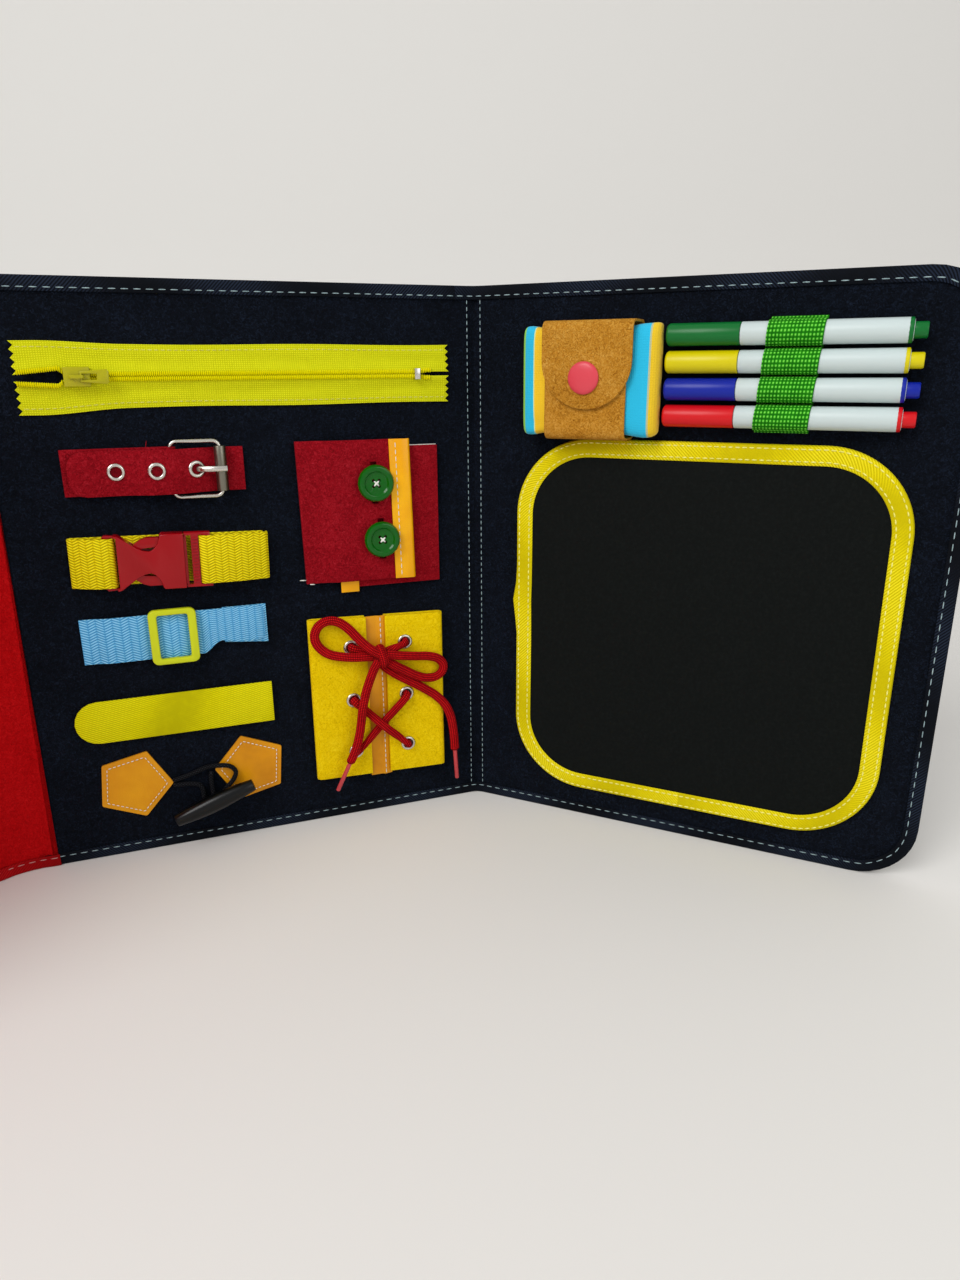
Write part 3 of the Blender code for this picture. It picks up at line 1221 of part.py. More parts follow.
def buttoned_flaps(page):
    base = place_on(page, "buttons_frame", buttons_place_shares)
    left, right = -FLAPS_WIDTH / 2, FLAPS_WIDTH / 2
    top = FLAP_HEIGHT / 2
    lower_back, lower_front = -GAP, -GAP - FLAP_FELT
    upper_back = lower_front - GAP
    upper_front = upper_back - FLAP_FELT

    lower = bmesh.new()
    lower_left = right - LOWER_FLAP_WIDTH
    lower_low, lower_top = -top - LOWER_FLAP_DROP, top - LOWER_FLAP_DROP
    plate(lower, [rectangle(lower_left, right, lower_low, lower_top)], lower_front, lower_back)
    under_flap = add("button_flap_lower", lower, base, "crimson_felt")
    edging = bmesh.new()
    edging_left, edging_right = lower_left - TRIM_LEATHER, lower_left + LOWER_TRIM_WIDTH
    plate(edging, [rectangle(edging_left, edging_right, lower_low - LOWER_TRIM_DROP, lower_top)],
          lower_front + GAP, lower_back - GAP)
    fuse(under_flap, "button_flap_lower_trim", edging, base)

    upper_right = left + UPPER_FLAP_WIDTH + TRIM_OVERLAP
    ramp = left + FLAP_ROOT
    upper = bmesh.new()
    stations = [(left, -GAP), (ramp, -GAP), (ramp + FLAP_RAMP, upper_back), (upper_right, upper_back)]
    sheet(upper, [(x, back, -top, top) for x, back in stations], FLAP_FELT, upright)
    flap = add("button_flap_upper", upper, base, "crimson_felt")

    trim_left = left + UPPER_FLAP_WIDTH - TRIM_LEATHER
    trim_right = trim_left + TRIM_WIDTH
    trim = bmesh.new()
    wrap = [
        (trim_left, upper_front - GAP), (trim_left, upper_front - GAP - TRIM_LEATHER),
        (trim_right - TRIM_LEATHER, upper_front - GAP - TRIM_LEATHER), (trim_right, upper_front),
        (trim_right, upper_back - FLAP_FELT / 4),
        (trim_right - TRIM_LEATHER, upper_back - FLAP_FELT / 4),
        (upper_right + GAP, upper_front - GAP)]
    strip(trim, [wrap], -top, top)
    add("button_flap_trim", trim, base, "yellow_trim")

    slits = bmesh.new()
    button_x = left + UPPER_FLAP_WIDTH - BUTTON_FROM_EDGE
    rows = []
    for name, sign in (("button_top", 1), ("button_bottom", -1)):
        at = (button_x - sign * BUTTON_SHIFT / 2, sign * BUTTON_PITCH / 2)
        rows.append((name, at))
        slit = [(at[0] + x, at[1] + z) for x, z in rounded(
            BUTTONHOLE_WIDTH / 2, BUTTONHOLE_LENGTH / 2, BUTTONHOLE_WIDTH / 2, 2)]
        plate(slits, [slit], upper_front - OVERRUN, lower_front - GAP / 2)
    cut(flap, "buttonholes", slits, base)
    for name, (x, z) in rows:
        button(name, base, (x, upper_front - GAP - TRIM_LEATHER - GAP, z))


# Laced flaps

def lace_rows():
    """Heights of the eyelet rows, from the top."""
    return [LACE_EYELET_PITCH * ((LACE_EYELET_ROWS - 1) / 2 - row) for row in range(LACE_EYELET_ROWS)]


def laced_flaps(page):
    base = place_on(page, "lacing_frame", laced_place_shares)
    half = LACED_WIDTH / 2
    top = LACED_HEIGHT / 2
    back_layer = -GAP - LACED_FELT / 2
    front_layer = back_layer - LACED_FELT - LACED_HOLLOW
    fold = (back_layer - front_layer) / 2
    front = front_layer - LACED_FELT / 2
    for name, side in (("left", -1), ("right", 1)):
        inner = side * LACED_OPENING / 2
        turn = side * (half - LACED_FELT / 2 - fold)
        centre_line = [(inner, back_layer)]
        for i in range(2 * ARC_STEPS + 1):
            angle = RIGHT_ANGLE * (1 - i / ARC_STEPS)
            centre_line.append(
                (turn + side * fold * math.cos(angle), back_layer - fold + fold * math.sin(angle)))
        centre_line.append((inner, front_layer))
        folded = bmesh.new()
        strip(folded, [ribbon(centre_line, LACED_FELT)], -top, top)
        flap = add("lacing_flap_" + name, folded, base, "yellow_felt")
        for row, z in enumerate(lace_rows()):
            matrix = facing((0, -1, 0), (side * LACE_EYELET_SPACING / 2, front, z))
            set_eyelet(flap, "lacing_eyelet_%s_%d" % (name, row + 1), base, LACE_EYELET_BORE,
                       LACE_EYELET_FLANGE, LACED_FELT, matrix)

    trim = bmesh.new()
    trim_half = LACED_OPENING / 2 - GAP
    plate(trim, [rectangle(-trim_half, trim_half, -top - CENTRE_TRIM_DROP, top)], front + LACED_FELT / 2,
          front + LACED_FELT / 2 + TRIM_LEATHER)
    add("lacing_trim", trim, base, "mustard_leather")
    return base, front


def lace(base, front):
    """The lace: a crossing between the lower eyelets, and the bow with its leads, loops and ends."""
    lying_at = front - GAP - LACE
    over_rim = front - EYELET_CROWN - GAP - LACE
    bend = LACE + GAP
    top_row, middle_row, bottom_row = lace_rows()
    right = LACE_EYELET_SPACING / 2

    def layered(route):
        return [(x, lying_at - layer * 2 * LACE, z) for x, layer, z in route]

    def out_of_eyelet(x, z, toward):
        """From inside an eyelet's bore, over its rim, and off toward a point."""
        heading = Vector((toward[0] - x, 0, toward[1] - z)).normalized()
        points = [(x, front + LACED_FELT, z)]
        for i in range(4):
            angle = RIGHT_ANGLE * i / 3
            along = bend * (1 - math.cos(angle))
            y = over_rim + bend * (1 - math.sin(angle))
            points.append((x + heading.x * along, y, z + heading.z * along))
        rim = LACE_EYELET_FLANGE + 2 * LACE
        points.append((x + heading.x * rim, over_rim, z + heading.z * rim))
        return points

    def crossing(start, end, height):
        middle = ((start[0] + end[0]) / 2, lying_at - height * 2 * LACE, (start[1] + end[1]) / 2)
        return out_of_eyelet(*start, end) + [middle] + out_of_eyelet(*end, start)[::-1]

    under = crossing((-right, bottom_row), (right, middle_row), 0)
    over = crossing((right, bottom_row), (-right, middle_row), crossing_share)
    strand = bmesh.new()
    tube(strand, smooth_route(under, LACE_STEP), LACE, LACE_SIDES)
    crossed = add("lace_crossings", strand, base, "red_lace")
    strand = bmesh.new()
    tube(strand, smooth_route(over, LACE_STEP), LACE, LACE_SIDES)
    fuse(crossed, "lace_crossing_over", strand, base)

    # The knot: a wrap round the strands that meet in it
    knot_x, knot_layer, knot_z = KNOT_PLACE
    knot_y = lying_at - knot_layer * 2 * LACE
    core = bmesh.new()
    section = [(LACE * radius, LACE * height) for radius, height in knot_core_shares]
    turned(core, section, ROUND_SIDES, facing((1, 0, 0), (knot_x, knot_y, knot_z)))
    bow = add("lace_bow", core, base, "red_lace")
    lean, depth, height = knot_wrap_shares
    ring = []
    for i in range(ROUND_SIDES):
        angle = 2 * math.pi * i / ROUND_SIDES
        ring.append((
            knot_x + LACE / 2 + lean * LACE * math.sin(angle), knot_y + depth * LACE * math.cos(angle),
            knot_z + height * LACE * math.sin(angle)))
    wrap = bmesh.new()
    tube(wrap, ring, LACE, LACE_SIDES, closed=True)
    fuse(bow, "lace_knot_wrap", wrap, base)
    knot_point = (knot_x, knot_z)
    inside = (knot_x, lying_at - LACE, knot_z)
    strands = {
        "lace_lead_left": out_of_eyelet(-right, top_row, knot_point)[:-1] + [inside],
        "lace_lead_right": out_of_eyelet(right, top_row, knot_point)[:-1] + [inside],
        "lace_loop_left": layered(LEFT_LOOP_ROUTE),
        "lace_loop_right": layered(RIGHT_LOOP_ROUTE),
        "lace_end_left": layered(LEFT_END_ROUTE),
        "lace_end_right": layered(RIGHT_END_ROUTE),
    }
    for name, route in strands.items():
        strand = bmesh.new()
        tube(strand, smooth_route(route, LACE_STEP), LACE, LACE_SIDES)
        fuse(bow, name, strand, base)

    for name, route in (("left", LEFT_END_ROUTE), ("right", RIGHT_END_ROUTE)):
        before, end = [Vector(point) for point in layered(route)[-2:]]
        along = (end - before).normalized()
        tip = bmesh.new()
        turned(tip, [(0, 0), (LACE_TIP, 0), (LACE_TIP, LACE_TIP_LENGTH), (0, LACE_TIP_LENGTH)],
               LACE_SIDES, facing(along, end + along * GAP))
        add("lace_tip_" + name, tip, base, "pink_tip")


# Eraser holder

def eraser_holder(page):
    base = frame("eraser_frame", page, (PAD_MIDDLE[0], 0, PAD_MIDDLE[1]))
    half_width = HOLDER_WIDTH / 2
    felt_back = -GAP - HOLDER_FELT
    pad_back = felt_back - GAP
    pad_middle = pad_back - PAD_THICKNESS / 2
    pad_front = pad_back - PAD_THICKNESS
    pad_half = PAD_HEIGHT / 2

    pad_axis = frame("eraser_pad_frame", base, (0, pad_middle, 0))
    pad = bmesh.new()
    rings = []
    right_shares = (*pad_middle_shares, *pad_end_shares)
    for share in (*[-share for share in reversed(right_shares[1:])], *right_shares):
        end = 1 - (1 - pad_end_share) * abs(share) ** 6
        shut = 1 - pad_shut_share * (1 - math.sqrt(1 - abs(share) ** 12))
        half_height = pad_half * (1 - pad_drawn_in_share * abs(share) ** 8)
        half_thick = PAD_THICKNESS / 2 * end * shut
        ring = []
        for k in range(PAD_SIDES):
            angle = 2 * math.pi * (k + 1 / 2) / PAD_SIDES
            y = math.copysign(abs(math.cos(angle)) ** pad_squareness_share, math.cos(angle)) * half_thick
            z = math.copysign(abs(math.sin(angle)) ** pad_squareness_share, math.sin(angle)) * half_height
            ring.append(pad.verts.new((share * PAD_LENGTH / 2, y, z)))
        rings.append(ring)
    for first, second in zip(rings, rings[1:]):
        for k in range(PAD_SIDES):
            pad.faces.new((first[k - 1], first[k], second[k], second[k - 1]))
    pad.faces.new(rings[0])
    pad.faces.new(rings[-1])
    add("eraser_pad", pad, pad_axis, "striped_cloth")

    # Band: behind the pad, under it and up its front as a pocket
    pocket_top = -pad_half + pocket_height_share * 2 * pad_half
    back_line = -GAP - HOLDER_FELT / 2
    front_line = pad_front - GAP - HOLDER_FELT / 2
    under_line = -pad_half - GAP - HOLDER_FELT / 2
    centre_line = [
        (back_line, pad_half), (back_line, under_line), (front_line, under_line), (front_line, pocket_top)]
    band = bmesh.new()
    bar(band, [ribbon(centre_line, HOLDER_FELT)], -half_width, half_width)
    holder = add("eraser_band", band, base, "brown_felt")

    snap_z = pad_half - SNAP_FROM_TOP
    pocket_front = front_line - HOLDER_FELT / 2
    stud = bmesh.new()
    turned(stud, [(0, -HOLDER_FELT / 2), (STUD_RADIUS, -HOLDER_FELT / 2), (STUD_RADIUS, STUD_THICKNESS),
                  (0, STUD_THICKNESS)], ROUND_SIDES, facing((0, -1, 0), (0, pocket_front, snap_z)))
    fuse(holder, "snap_stud", stud, base)

    # Flap: from the page over the pad's top and down the front to a round end, hinged at the page
    flap_back = pocket_front - STUD_THICKNESS - GAP
    root_z = pad_half + GAP + HOLDER_FELT
    flap_axis = frame("eraser_flap_frame", base, (0, -GAP, root_z))
    reach = -flap_back - GAP
    lid = bmesh.new()
    bar(lid, [rectangle(-reach - HOLDER_FELT, 0, -HOLDER_FELT, 0)], -half_width, half_width)
    flap = add("eraser_flap", lid, flap_axis, "brown_felt")
    hang = bmesh.new()
    low = -(FLAP_REACH - half_width)
    outline = [(half_width - GAP, -HOLDER_FELT / 2), (-half_width + GAP, -HOLDER_FELT / 2)]
    outline += arc((0, low), half_width - GAP, 2 * RIGHT_ANGLE, 4 * RIGHT_ANGLE, 3 * ARC_STEPS)
    hole = circle((0, snap_z - root_z), SNAP_POST + GAP, ROUND_SIDES)
    plate(hang, [outline, hole], -reach - HOLDER_FELT, -reach)
    fuse(flap, "eraser_flap_front", hang, flap_axis)

    cap = bmesh.new()
    seat = reach + HOLDER_FELT + GAP
    crown = seat + SNAP_THICKNESS
    turned(cap, [
        (0, reach), (SNAP_POST, reach), (SNAP_POST, seat), (SNAP_RADIUS, seat),
        (SNAP_RADIUS, seat + SNAP_THICKNESS / 2), (SNAP_RADIUS - SNAP_THICKNESS / 2, crown - GAP),
        (SNAP_RADIUS / 2, crown), (0, crown)],
        FINE_SIDES, facing((0, -1, 0), (0, 0, snap_z - root_z)))
    add("snap_cap", cap, flap_axis, "pink_plastic")


# Markers

def marker_rows():
    return [MARKER_PITCH * ((MARKER_COUNT - 1) / 2 - row) for row in range(MARKER_COUNT)]


def markers(page):
    pad_end = PAD_MIDDLE[0] + PAD_LENGTH / 2
    base = frame("markers_frame", page, (pad_end + MARKERS_FROM_PAD, 0, PAD_MIDDLE[1] + MARKERS_ABOVE_PAD))
    depth = -PAGE_EDGE - GAP - BARREL_RADIUS
    tunnel = BARREL_RADIUS + GAP
    shell = tunnel + LOOP_BAND

    # Elastic band over the four barrels, with its backing, as thick as the page's binding stands out
    crown = math.acos(MARKER_PITCH / 2 / shell)
    outline = [(-GAP, marker_rows()[0] + shell)]
    for row, z in enumerate(marker_rows()):
        start = crown if row else 0
        end = math.pi - (crown if row < MARKER_COUNT - 1 else 0)
        for i in range(1 if row else 0, 2 * ARC_STEPS + 1):
            angle = start + (end - start) * i / (2 * ARC_STEPS)
            outline.append((depth - shell * math.sin(angle), z + shell * math.cos(angle)))
    outline.append((-GAP, marker_rows()[-1] - shell))
    tunnels = [circle((depth, z), tunnel, ROUND_SIDES) for z in marker_rows()]
    loops = bmesh.new()
    bar(loops, [outline, *tunnels], LOOP_FROM_CAP, LOOP_FROM_CAP + LOOP_BAND_WIDTH)
    add("marker_loops", loops, base, "green_elastic")

    rim = CAP_WALL
    bore = CAP_RADIUS - CAP_WALL
    floor = CAP_LENGTH - NECK_LENGTH - NIB_LENGTH - 2 * CAP_WALL
    plug_end = BARREL_LENGTH + MARKER_PLUG_LENGTH
    for z, colour in zip(marker_rows(), ("green", "yellow", "blue", "red")):
        cap_axis = frame("marker_%s_frame" % colour, base, (0, depth, z))
        cap = bmesh.new()
        turned(cap, [
            (0, 0), (CAP_RADIUS - rim, 0), (CAP_RADIUS, rim), (CAP_RADIUS, CAP_LENGTH), (bore, CAP_LENGTH),
            (bore, floor), (0, floor)], ROUND_SIDES, facing((1, 0, 0)))
        add("marker_cap_" + colour, cap, cap_axis, "cap_" + colour)

        barrel_axis = frame("marker_%s_barrel_frame" % colour, cap_axis, (CAP_LENGTH + GAP, 0, 0))
        barrel = bmesh.new()
        turned(barrel, [
            (0, -NECK_LENGTH - NIB_LENGTH), (NIB_RADIUS / 2, -NECK_LENGTH - NIB_LENGTH),
            (NIB_RADIUS, -NECK_LENGTH - NIB_LENGTH / 2), (NIB_RADIUS, -NECK_LENGTH),
            (NECK_RADIUS - NIB_RADIUS, -NECK_LENGTH), (NECK_RADIUS, -NECK_LENGTH / 2),
            (NECK_RADIUS, 0), (CAP_RADIUS, 0), (BARREL_RADIUS, BARREL_LENGTH / 2),
            (BARREL_RADIUS, BARREL_LENGTH - rim), (BARREL_RADIUS - rim, BARREL_LENGTH),
            (PLUG_RADIUS, BARREL_LENGTH), (PLUG_RADIUS, plug_end - rim), (PLUG_RADIUS - rim, plug_end),
            (0, plug_end)], ROUND_SIDES, facing((1, 0, 0)))
        add("marker_barrel_" + colour, barrel, barrel_axis, "white_plastic")


# Chalkboard

def chalkboard(page):
    top = HOLDER_BASE - CHALKBOARD_UNDER_HOLDER
    half_width = (PAGE_WIDTH - CHALKBOARD_FROM_EDGE - CHALKBOARD_FROM_SPINE) / 2
    half_height = (top - CHALKBOARD_FROM_BASE) / 2
    base = frame("chalkboard_frame", page, (CHALKBOARD_FROM_SPINE + half_width, 0, top - half_height))
    inset = CHALKBOARD_TAPE + GAP
    sheet_back = -GAP - CHALKBOARD_TAPE - GAP
    sheet_front = sheet_back - CHALKBOARD_SHEET
    steps = ARC_STEPS + 2
    slate = bmesh.new()
    plate(slate, [rounded(half_width - inset, half_height - inset, CHALKBOARD_CORNER - inset, steps)],
          sheet_front, sheet_back)
    add("chalkboard_sheet", slate, base, "chalkboard")

    path = []
    across, up = half_width - CHALKBOARD_CORNER, half_height - CHALKBOARD_CORNER
    for quarter, middle in enumerate(((across, up), (-across, up), (-across, -up), (across, -up))):
        path += edge_arc(middle, CHALKBOARD_CORNER, quarter * RIGHT_ANGLE, (quarter + 1) * RIGHT_ANGLE, steps)
    tape = bmesh.new()
    profile = folded_tape(sheet_front, sheet_back, CHALKBOARD_BINDING, CHALKBOARD_TAPE, CHALKBOARD_ROUND)
    sweep(tape, path, profile, closed=True)
    add("chalkboard_binding", tape, base, "yellow_binding")


def centre_over_origin(board):
    """Moves the whole board so that the origin is the middle of the base of its bounding box."""
    bpy.context.view_layer.update()
    low = Vector((math.inf, math.inf, math.inf))
    high = -low
    graph = bpy.context.evaluated_depsgraph_get()
    for found in bpy.data.objects:
        if found.type == "EMPTY" or found.hide_render:
            continue
        evaluated = found.evaluated_get(graph)
        mesh = evaluated.to_mesh()
        for vertex in mesh.vertices:
            point = evaluated.matrix_world @ vertex.co
            for axis in range(3):
                low[axis] = min(low[axis], point[axis])
                high[axis] = max(high[axis], point[axis])
        evaluated.to_mesh_clear()
    board.location = (-(low.x + high.x) / 2, -(low.y + high.y) / 2, -low.z)


def main():
    clear_scene()
    board = frame("board", None)
    left_page = frame("left_page_frame", board, turn=LEFT_TURN)
    right_page = frame("spine_axis", board, turn=-RIGHT_TURN)
    red_page = frame("fold_axis", left_page, (-PAGE_WIDTH, 0, 0), turn=RED_TURN)
    middle_page(left_page)
    outer_page("right_page", right_page, 1, "navy_felt", "navy_felt")
    outer_page("red_page", red_page, -1, "red_felt", "red_felt")
    zip_fastener(left_page)
    belt(left_page)
    side_release_clip(left_page)
    strap_adjuster(left_page)
    hook_and_loop(left_page)
    toggle(left_page)
    buttoned_flaps(left_page)
    lace(*laced_flaps(left_page))
    eraser_holder(right_page)
    markers(right_page)
    chalkboard(right_page)
    centre_over_origin(board)


main()
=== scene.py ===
# %% [markdown]
# # A folding felt busy board
#
# The object is a book of three stiffened felt pages that stands open on its bottom edges. The middle page
# carries fasteners to practise on, the right page a chalkboard, an eraser pad and four markers. The solids in
# the frame already hold every size and joint. Here they are dressed: cloth gets its folds, stitches and weave,
# and plastic and metal get rounded edges and a finish.

# %% The frame
import json
from math import atan2, cos, pi, radians, sin

import bmesh
import bpy
from mathutils import Matrix, Vector


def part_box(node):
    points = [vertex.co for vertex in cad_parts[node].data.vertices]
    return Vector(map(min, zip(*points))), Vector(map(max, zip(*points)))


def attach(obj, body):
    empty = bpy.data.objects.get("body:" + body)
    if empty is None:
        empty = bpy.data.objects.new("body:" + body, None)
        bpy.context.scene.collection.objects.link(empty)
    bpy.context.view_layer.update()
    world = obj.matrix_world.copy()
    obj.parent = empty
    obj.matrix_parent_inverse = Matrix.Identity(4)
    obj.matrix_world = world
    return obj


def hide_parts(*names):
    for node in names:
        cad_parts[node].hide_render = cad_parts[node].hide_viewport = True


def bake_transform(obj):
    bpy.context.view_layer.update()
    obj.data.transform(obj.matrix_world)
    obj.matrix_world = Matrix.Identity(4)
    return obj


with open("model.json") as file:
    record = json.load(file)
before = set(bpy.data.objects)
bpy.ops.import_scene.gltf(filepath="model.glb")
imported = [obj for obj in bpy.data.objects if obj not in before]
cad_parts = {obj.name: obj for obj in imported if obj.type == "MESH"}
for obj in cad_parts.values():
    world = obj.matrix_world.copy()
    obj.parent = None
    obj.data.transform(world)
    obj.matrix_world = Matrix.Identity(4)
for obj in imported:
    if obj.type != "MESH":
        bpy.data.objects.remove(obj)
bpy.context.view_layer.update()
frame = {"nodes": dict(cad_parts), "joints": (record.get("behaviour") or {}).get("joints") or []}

# %% [markdown]
# ## Places
#
# Every page is flat, so its pieces are drawn in the page's own millimetres: x along the page from its hinge,
# y = 0 on the front of the felt with negative y towards the viewer, and z up from the bottom edge. One matrix
# for each page then carries a finished shape to its place. The hinge axes come from the joints.

# %% Page matrices
MM = Matrix.Scale(0.001, 4)
JOINTS = {joint["name"]: joint for joint in frame["joints"]}
SPINE = Vector(JOINTS["spine_hinge"]["pos_m"])
FOLD = Vector(JOINTS["fold_hinge"]["pos_m"])


def page_place(axis, turn):
    """The matrix from a page's millimetres to the row frame."""
    return Matrix.Translation((axis.x, axis.y, 0)) @ Matrix.Rotation(radians(turn), 4, "Z") @ MM


def on(page, x, z, turn=0):
    """A fastener's own millimetres, with its middle at x and z on a page."""
    return page @ Matrix.Translation((x, 0, z)) @ Matrix.Rotation(radians(turn), 4, "Y")


LEFT = page_place(SPINE, 20.1)
RIGHT = page_place(SPINE, -25.2)
RED = page_place(FOLD, 65.1)
print("spine", [round(v, 4) for v in SPINE], "fold", [round(v, 4) for v in FOLD])

# %% [markdown]
# ## Camera
#
# The photograph was taken by hand from half a metre away, looking down by about 17.5 degrees. The lens was
# fitted to the corners of the two visible pages.

# %% Camera
PHOTO_HEIGHT = 1280
FOCAL_PIXELS = 865.48
camera_data = bpy.data.cameras.new("photo_camera")
camera_data.sensor_width = 36
camera_data.lens = FOCAL_PIXELS * camera_data.sensor_width / PHOTO_HEIGHT
camera = bpy.data.objects.new("photo_camera", camera_data)
bpy.context.collection.objects.link(camera)
EYE = Vector((SPINE.x + 0.0022, SPINE.y - 0.4991, 0.2589))
LOOKING_DOWN, ROLL = 17.551, -0.363
camera.matrix_world = (Matrix.Translation(EYE) @ Matrix.Rotation(radians(90 - LOOKING_DOWN), 4, "X")
                       @ Matrix.Rotation(radians(ROLL), 4, "Z"))
bpy.context.scene.camera = camera
print("lens", round(camera_data.lens, 2), "mm")

# %% [markdown]
# ## Tools for shapes
#
# Cloth is made flat and then laid over what carries it, as it is in a workshop: `panel` cuts a flat piece with
# rounded corners, and `laid` bends it along a path. A tape or a cord is drawn along its way by `sweep`, which
# extrudes a row of points step by step. Both keep the cloth's own length and width as its UV map, in metres,
# so that a weave follows every fold. `turned` spins a profile, for buttons, eyelets and snaps.

# %% Flat cloth
def panel(x0, x1, z0, z1, corners=(0, 0, 0, 0), step=None, cuts=(), rows=()):
    """A flat piece in millimetres. Corners are radii: low left, low right, top right, top left."""
    shape = bmesh.new()
    bmesh.ops.create_grid(shape, x_segments=1, y_segments=1, size=0.5)
    bmesh.ops.scale(shape, vec=(x1 - x0, z1 - z0, 1), verts=shape.verts)
    bmesh.ops.translate(shape, vec=((x0 + x1) / 2, (z0 + z1) / 2, 0), verts=shape.verts)
    places = ((x0, z0), (x1, z0), (x1, z1), (x0, z1))
    for (x, z), radius in zip(places, corners):
        if radius:
            corner_vertex = min(shape.verts, key=lambda v: (v.co.x - x) ** 2 + (v.co.y - z) ** 2)
            bmesh.ops.bevel(shape, geom=[corner_vertex], offset=radius, segments=max(4, int(radius / 2)),
                            profile=0.5, affect="VERTICES", material=-1)
    count = int(round((x1 - x0) / step)) if step else 1
    across = list(cuts) + [x0 + (x1 - x0) * i / count for i in range(1, count)]
    for at, normal in [((x, 0, 0), (1, 0, 0)) for x in across] + [((0, z, 0), (0, 1, 0)) for z in rows]:
        geometry = shape.verts[:] + shape.edges[:] + shape.faces[:]
        bmesh.ops.bisect_plane(shape, geom=geometry, plane_co=at, plane_no=normal, dist=1e-5)
    bmesh.ops.rotate(shape, cent=(0, 0, 0), matrix=Matrix.Rotation(pi / 2, 3, "X"), verts=shape.verts)
    cut_sizes(shape)
    return shape


# %% A cloth's own measures
def cut_sizes(shape):
    """Keeps each face corner's flat place, in metres, as the cloth's UV map."""
    uv = shape.loops.layers.uv.verify()
    for face in shape.faces:
        for loop in face.loops:
            loop[uv].uv = (loop.vert.co.x * 0.001, loop.vert.co.z * 0.001)


# %% Ways and their lengths
def smooth_path(points, step=1.5):
    """Points close together on a smooth line through the given points."""
    points = [Vector(p).to_3d() for p in points]
    fine = [points[0]]
    for i in range(len(points) - 1):
        before = points[max(i - 1, 0)]
        start, end = points[i], points[i + 1]
        after = points[min(i + 2, len(points) - 1)]
        pieces = max(1, int((end - start).length / step))
        for k in range(1, pieces + 1):
            t = k / pieces
            fine.append(0.5 * (2 * start + (end - before) * t
                               + (2 * before - 5 * start + 4 * end - after) * t * t
                               + (3 * start - before - 3 * end + after) * t ** 3))
    return fine


def marks_along(path):
    """How far along a path each of its points lies."""
    path = [Vector(point) for point in path]
    marks = [0]
    for a, b in zip(path, path[1:]):
        marks.append(marks[-1] + (b - a).length)
    return marks


def length_of(path):
    """The whole length of a path, in the path's own unit."""
    return marks_along(path)[-1]


# %% Cloth laid along a way
def laid(shape, path, side=1):
    """Bends a flat piece along a path in x and y: its x becomes the way along the path. Side -1 lays it on a
    page that runs to the left of its hinge."""
    path = [Vector((p[0], p[1])) for p in path]
    marks = marks_along(path)
    headings = [(b - a).normalized() for a, b in zip(path, path[1:])]
    for vertex in shape.verts:
        s = vertex.co.x
        i = 0
        while i < len(headings) - 1 and marks[i + 1] < s:
            i += 1
        heading = headings[i]
        place = path[i] + heading * (s - marks[i])
        share = min(max((s - marks[i]) / (marks[i + 1] - marks[i]), 0), 1) - 0.5
        other = headings[min(i + 1, len(headings) - 1)] if share > 0 else headings[max(i - 1, 0)]
        across = heading.lerp(other, abs(share)).normalized()
        place += Vector((-across.y, across.x)) * vertex.co.y * side
        vertex.co.x, vertex.co.y = place
    if side < 0:
        bmesh.ops.reverse_faces(shape, faces=shape.faces)
    return shape


# %% Swept tape and cord
def drawn_out(shape, edges):
    """Extrudes a row of edges, and gives the new row's vertices and edges."""
    made = bmesh.ops.extrude_edge_only(shape, edges=edges)["geom"]
    verts = [item for item in made if isinstance(item, bmesh.types.BMVert)]
    return verts, [item for item in made if isinstance(item, bmesh.types.BMEdge)
                   and all(v in verts for v in item.verts)]


def sweep(section, moves, closed=False):
    """Draws a row of points through space, one matrix for each move, and keeps length and width as UVs."""
    shape = bmesh.new()
    run = shape.verts.layers.float.new("run")
    side = shape.verts.layers.float.new("side")
    row = [shape.verts.new(point) for point in section]
    width = 0
    for i, vertex in enumerate(row):
        width += (row[i].co - row[i - 1].co).length if i else 0
        vertex[side] = width
    pairs = list(zip(row, row[1:])) + ([(row[-1], row[0])] if closed else [])
    edges = [shape.edges.new(pair) for pair in pairs]
    travelled = 0
    for move in moves:
        middle = sum((v.co for v in row), Vector()) / len(row)
        row, edges = drawn_out(shape, edges)
        bmesh.ops.transform(shape, matrix=move, verts=row)
        travelled += (sum((v.co for v in row), Vector()) / len(row) - middle).length
        for vertex in row:
            vertex[run] = travelled
    uv = shape.loops.layers.uv.verify()
    for face in shape.faces:
        for loop in face.loops:
            loop[uv].uv = (loop.vert[run] * 0.001, loop.vert[side] * 0.001)
    return shape


# %% Moves of a tape
def straight(x, z, count):
    """Equal moves that add up to x and z."""
    return [Matrix.Translation((x / count, 0, z / count))] * count


def corner(x, z, turn, count=9):
    """Moves round a corner's middle in the page's plane; a positive turn takes +x to +z."""
    there = Matrix.Translation((x, 0, z))
    return [there @ Matrix.Rotation(radians(-turn / count), 4, "Y") @ there.inverted()] * count


def traced(point, moves):
    """The way of one point through the same moves."""
    way = [Vector(point)]
    for move in moves:
        way.append(move @ way[-1])
    return way


# %% Cords
def cord_frames(path):
    """A matrix at each point of a path: z along it, y kept as near as it can be to the viewer."""
    frames = []
    up = Vector((0, -1, 0))
    wanted = up.copy()
    for i, point in enumerate(path):
        along = (path[min(i + 1, len(path) - 1)] - path[max(i - 1, 0)]).normalized()
        up = up - along * up.dot(along)
        flat = wanted - along * wanted.dot(along)
        up = (up.normalized() + flat * 0.35).normalized()
        side = up.cross(along).normalized()
        frames.append(Matrix.Translation(point) @ Matrix((side, up, along)).transposed().to_4x4())
    return frames


